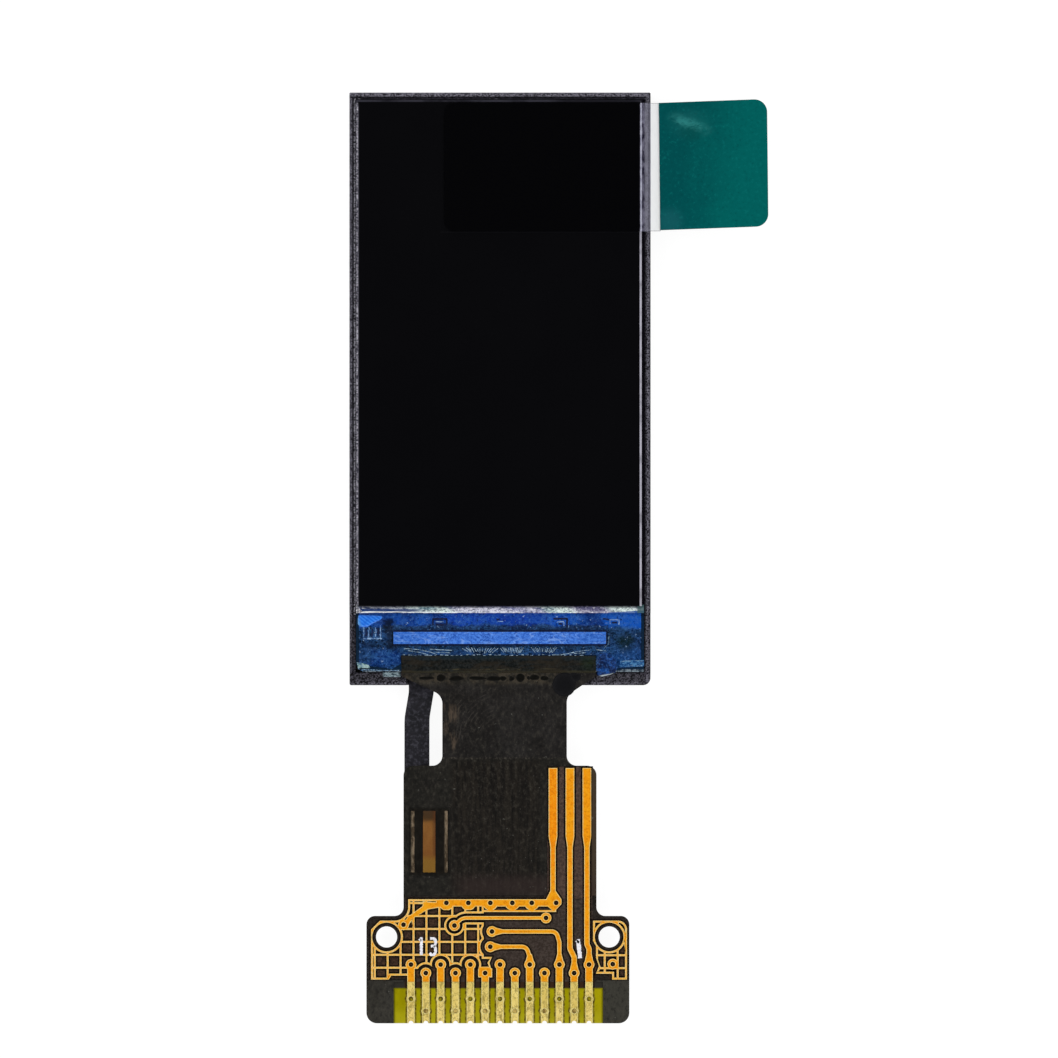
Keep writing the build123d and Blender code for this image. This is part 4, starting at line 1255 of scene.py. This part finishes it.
# Painted glints: pale teal-grey on the left, blue on the right
corner_glint = speckled("corner_glint", (22, 64, 116), (76, 128, 174), (70, 108, 120), (158, 184, 184))
run_out = speckled("run_out", (48, 56, 62), (134, 148, 156), (50, 66, 74), (140, 158, 166))
make_piece("ledge_corner_glints", corner_glint_strips, corner_glint)
make_piece("resin_on_bar", run_on_bar, run_out)
make_piece("resin_gel_drop", gel_drop, gel_paint())
bright_lines = lines_at(
    (357.4, 662.8, 361, 664, 363, 666.6), (360, 669.6, 380, 670.4, 399, 670.4),
    (358, 668.4, 361, 669.6, 363, 671), (621, 661.8, 626.5, 660.7, 631, 661.2),
    (634.6, 660.6, 642.6, 661.2), (627, 666, 633, 665.3), (636.4, 665.8, 642, 665.2),
    (604, 648, 608.5, 644, 609, 636),
)
glint = plain_ink("glint", (38, 78, 122), (142, 172, 194), 0.2)
draw("resin_edge_glints", bright_lines, 0.035, 0.016, glint, MARK_TOP + 0.004)


# Adhesive at the edge of the glass, and the glue spot


# The spots' level and each one's place across, in pixels, and its width and depth in millimetres.
# They are drawn a little larger, because a dome is thin at its edge.
SPOT_LEVEL = 678.2
SPOT_WIDER = 1.12
SPOT_DEEPER = 1.3
SPOTS = (
    (427, 0.66, 0.14),
    (440.8, 0.42, 0.27),
    (457, 0.7, 0.2),
    (477, 0.8, 0.16),
    (493.5, 0.6, 0.2),
    (503.2, 0.3, 0.2),
    (511.6, 0.24, 0.18),
    (520.6, 0.4, 0.3),
    (528.4, 0.16, 0.16),
    (534.2, 0.42, 0.22),
    (544.8, 0.34, 0.19),
)
GLUE_CENTRE = on_part(564, 684.5)
GLUE_TAIL = on_part(574.5, 677)


def adhesive_spots(work):
    for across, width, depth in SPOTS:
        width *= SPOT_WIDER
        depth *= SPOT_DEEPER
        centre = on_part(across, SPOT_LEVEL + random.uniform(-0.5, 0.5))
        dome(work, *centre, width, depth, FLEX_TOP - SUNK, 0.014, wobble=0.3, rings=3, spokes=16)


def glue(work):
    bottom = FLEX_TOP - 0.01
    dome(work, *GLUE_CENTRE, 1.12, 1.14, bottom, height=0.1, wobble=0.05, rings=5, spokes=28)
    dome(work, *GLUE_TAIL, 0.62, 0.42, bottom, height=0.045, wobble=0.14)


dark_adhesive = plain_ink("dark_adhesive", (6, 6, 4), (15, 14, 11), 0.3)
make_piece("adhesive_spots", adhesive_spots, dark_adhesive)
black_glue = cloudy("black_glue", 0.5, (3, 3), (5, 5, 7), (15, 15, 19), 0.1)
glue_piece = make_piece("glue_blob", glue, black_glue, ["glue_spot"])
for face in glue_piece.data.polygons:
    face.use_smooth = True


# Floor, light and camera


def make_floor():
    """A pale floor that glows only where it is seen, so that it lights nothing."""
    mesh = bpy.data.meshes.new("floor")
    corners = [(x * FLOOR_REACH, y * FLOOR_REACH, 0) for x, y in ((-1, -1), (1, -1), (1, 1), (-1, 1))]
    mesh.from_pydata(corners, [], [(0, 1, 2, 3)])
    floor = add_object("floor", mesh)
    material = bpy.data.materials.new("pale_floor")
    material.use_nodes = True
    tree = material.node_tree
    shader = tree.nodes["Principled BSDF"]
    set_inputs(shader, {"Base Color": grey(FLOOR_BASE), "Emission Color": grey(1)})
    set_inputs(shader, {"Roughness": 0.9, "Specular IOR Level": 0})
    rays = tree.nodes.new("ShaderNodeLightPath")
    seen = Field(tree, rays.outputs["Is Camera Ray"])
    for name in ("Is Glossy Ray", "Is Transmission Ray"):
        seen = seen | Field(tree, rays.outputs[name])
    put(seen * FLOOR_GLOW, shader.inputs["Emission Strength"])
    mesh.materials.append(material)


def make_sky():
    """A light tent that is white round the sides and dark straight above."""
    world = bpy.data.worlds.new("tent")
    bpy.context.scene.world = world
    world.use_nodes = True
    tree = world.node_tree
    background = tree.nodes["Background"]
    direction = tree.nodes.new("ShaderNodeTexCoord")
    height = Field(tree, direction.outputs["Generated"]).split()[2]
    background.inputs["Color"].default_value = grey(1)
    put(height.fall(0.80, 0.93, 0.02), background.inputs["Strength"])


def make_lamp(name, azimuth, elevation, power):
    turn = math.radians(azimuth)
    tilt = math.radians(elevation)
    data = bpy.data.lights.new(name, "AREA")
    data.energy = power
    data.size = LAMP_SIZE
    lamp = add_object(name, data)
    lamp.location = (
        LAMP_DISTANCE * math.cos(tilt) * math.cos(turn),
        LAMP_DISTANCE * math.cos(tilt) * math.sin(turn) + LAMP_AIM_Y,
        LAMP_DISTANCE * math.sin(tilt),
    )
    lamp.rotation_euler = (math.pi / 2 - tilt, 0, turn + math.pi / 2)


def make_camera():
    """Straight above the part, as far off as makes the frame as wide as the photograph."""
    data = bpy.data.cameras.new("camera")
    camera = add_object("camera", data)
    distance = LENS / SENSOR * PHOTO_SIZE / PIXELS_PER_MM
    data.lens = LENS
    data.sensor_width = SENSOR
    data.sensor_fit = "HORIZONTAL"
    data.clip_start = 0.01
    data.clip_end = 10
    centre = on_part(PHOTO_SIZE / 2, PHOTO_SIZE / 2)
    camera.location = (centre[0] * MM, centre[1] * MM, (distance + FLEX_TOP) * MM)
    bpy.context.scene.camera = camera


make_floor()
make_sky()
make_lamp("lamp_left", azimuth=150, elevation=52, power=0.32)
make_lamp("lamp_right", azimuth=20, elevation=52, power=0.22)
make_lamp("lamp_front", azimuth=270, elevation=50, power=0.2)
make_camera()

bpy.context.scene.view_settings.view_transform = "Standard"
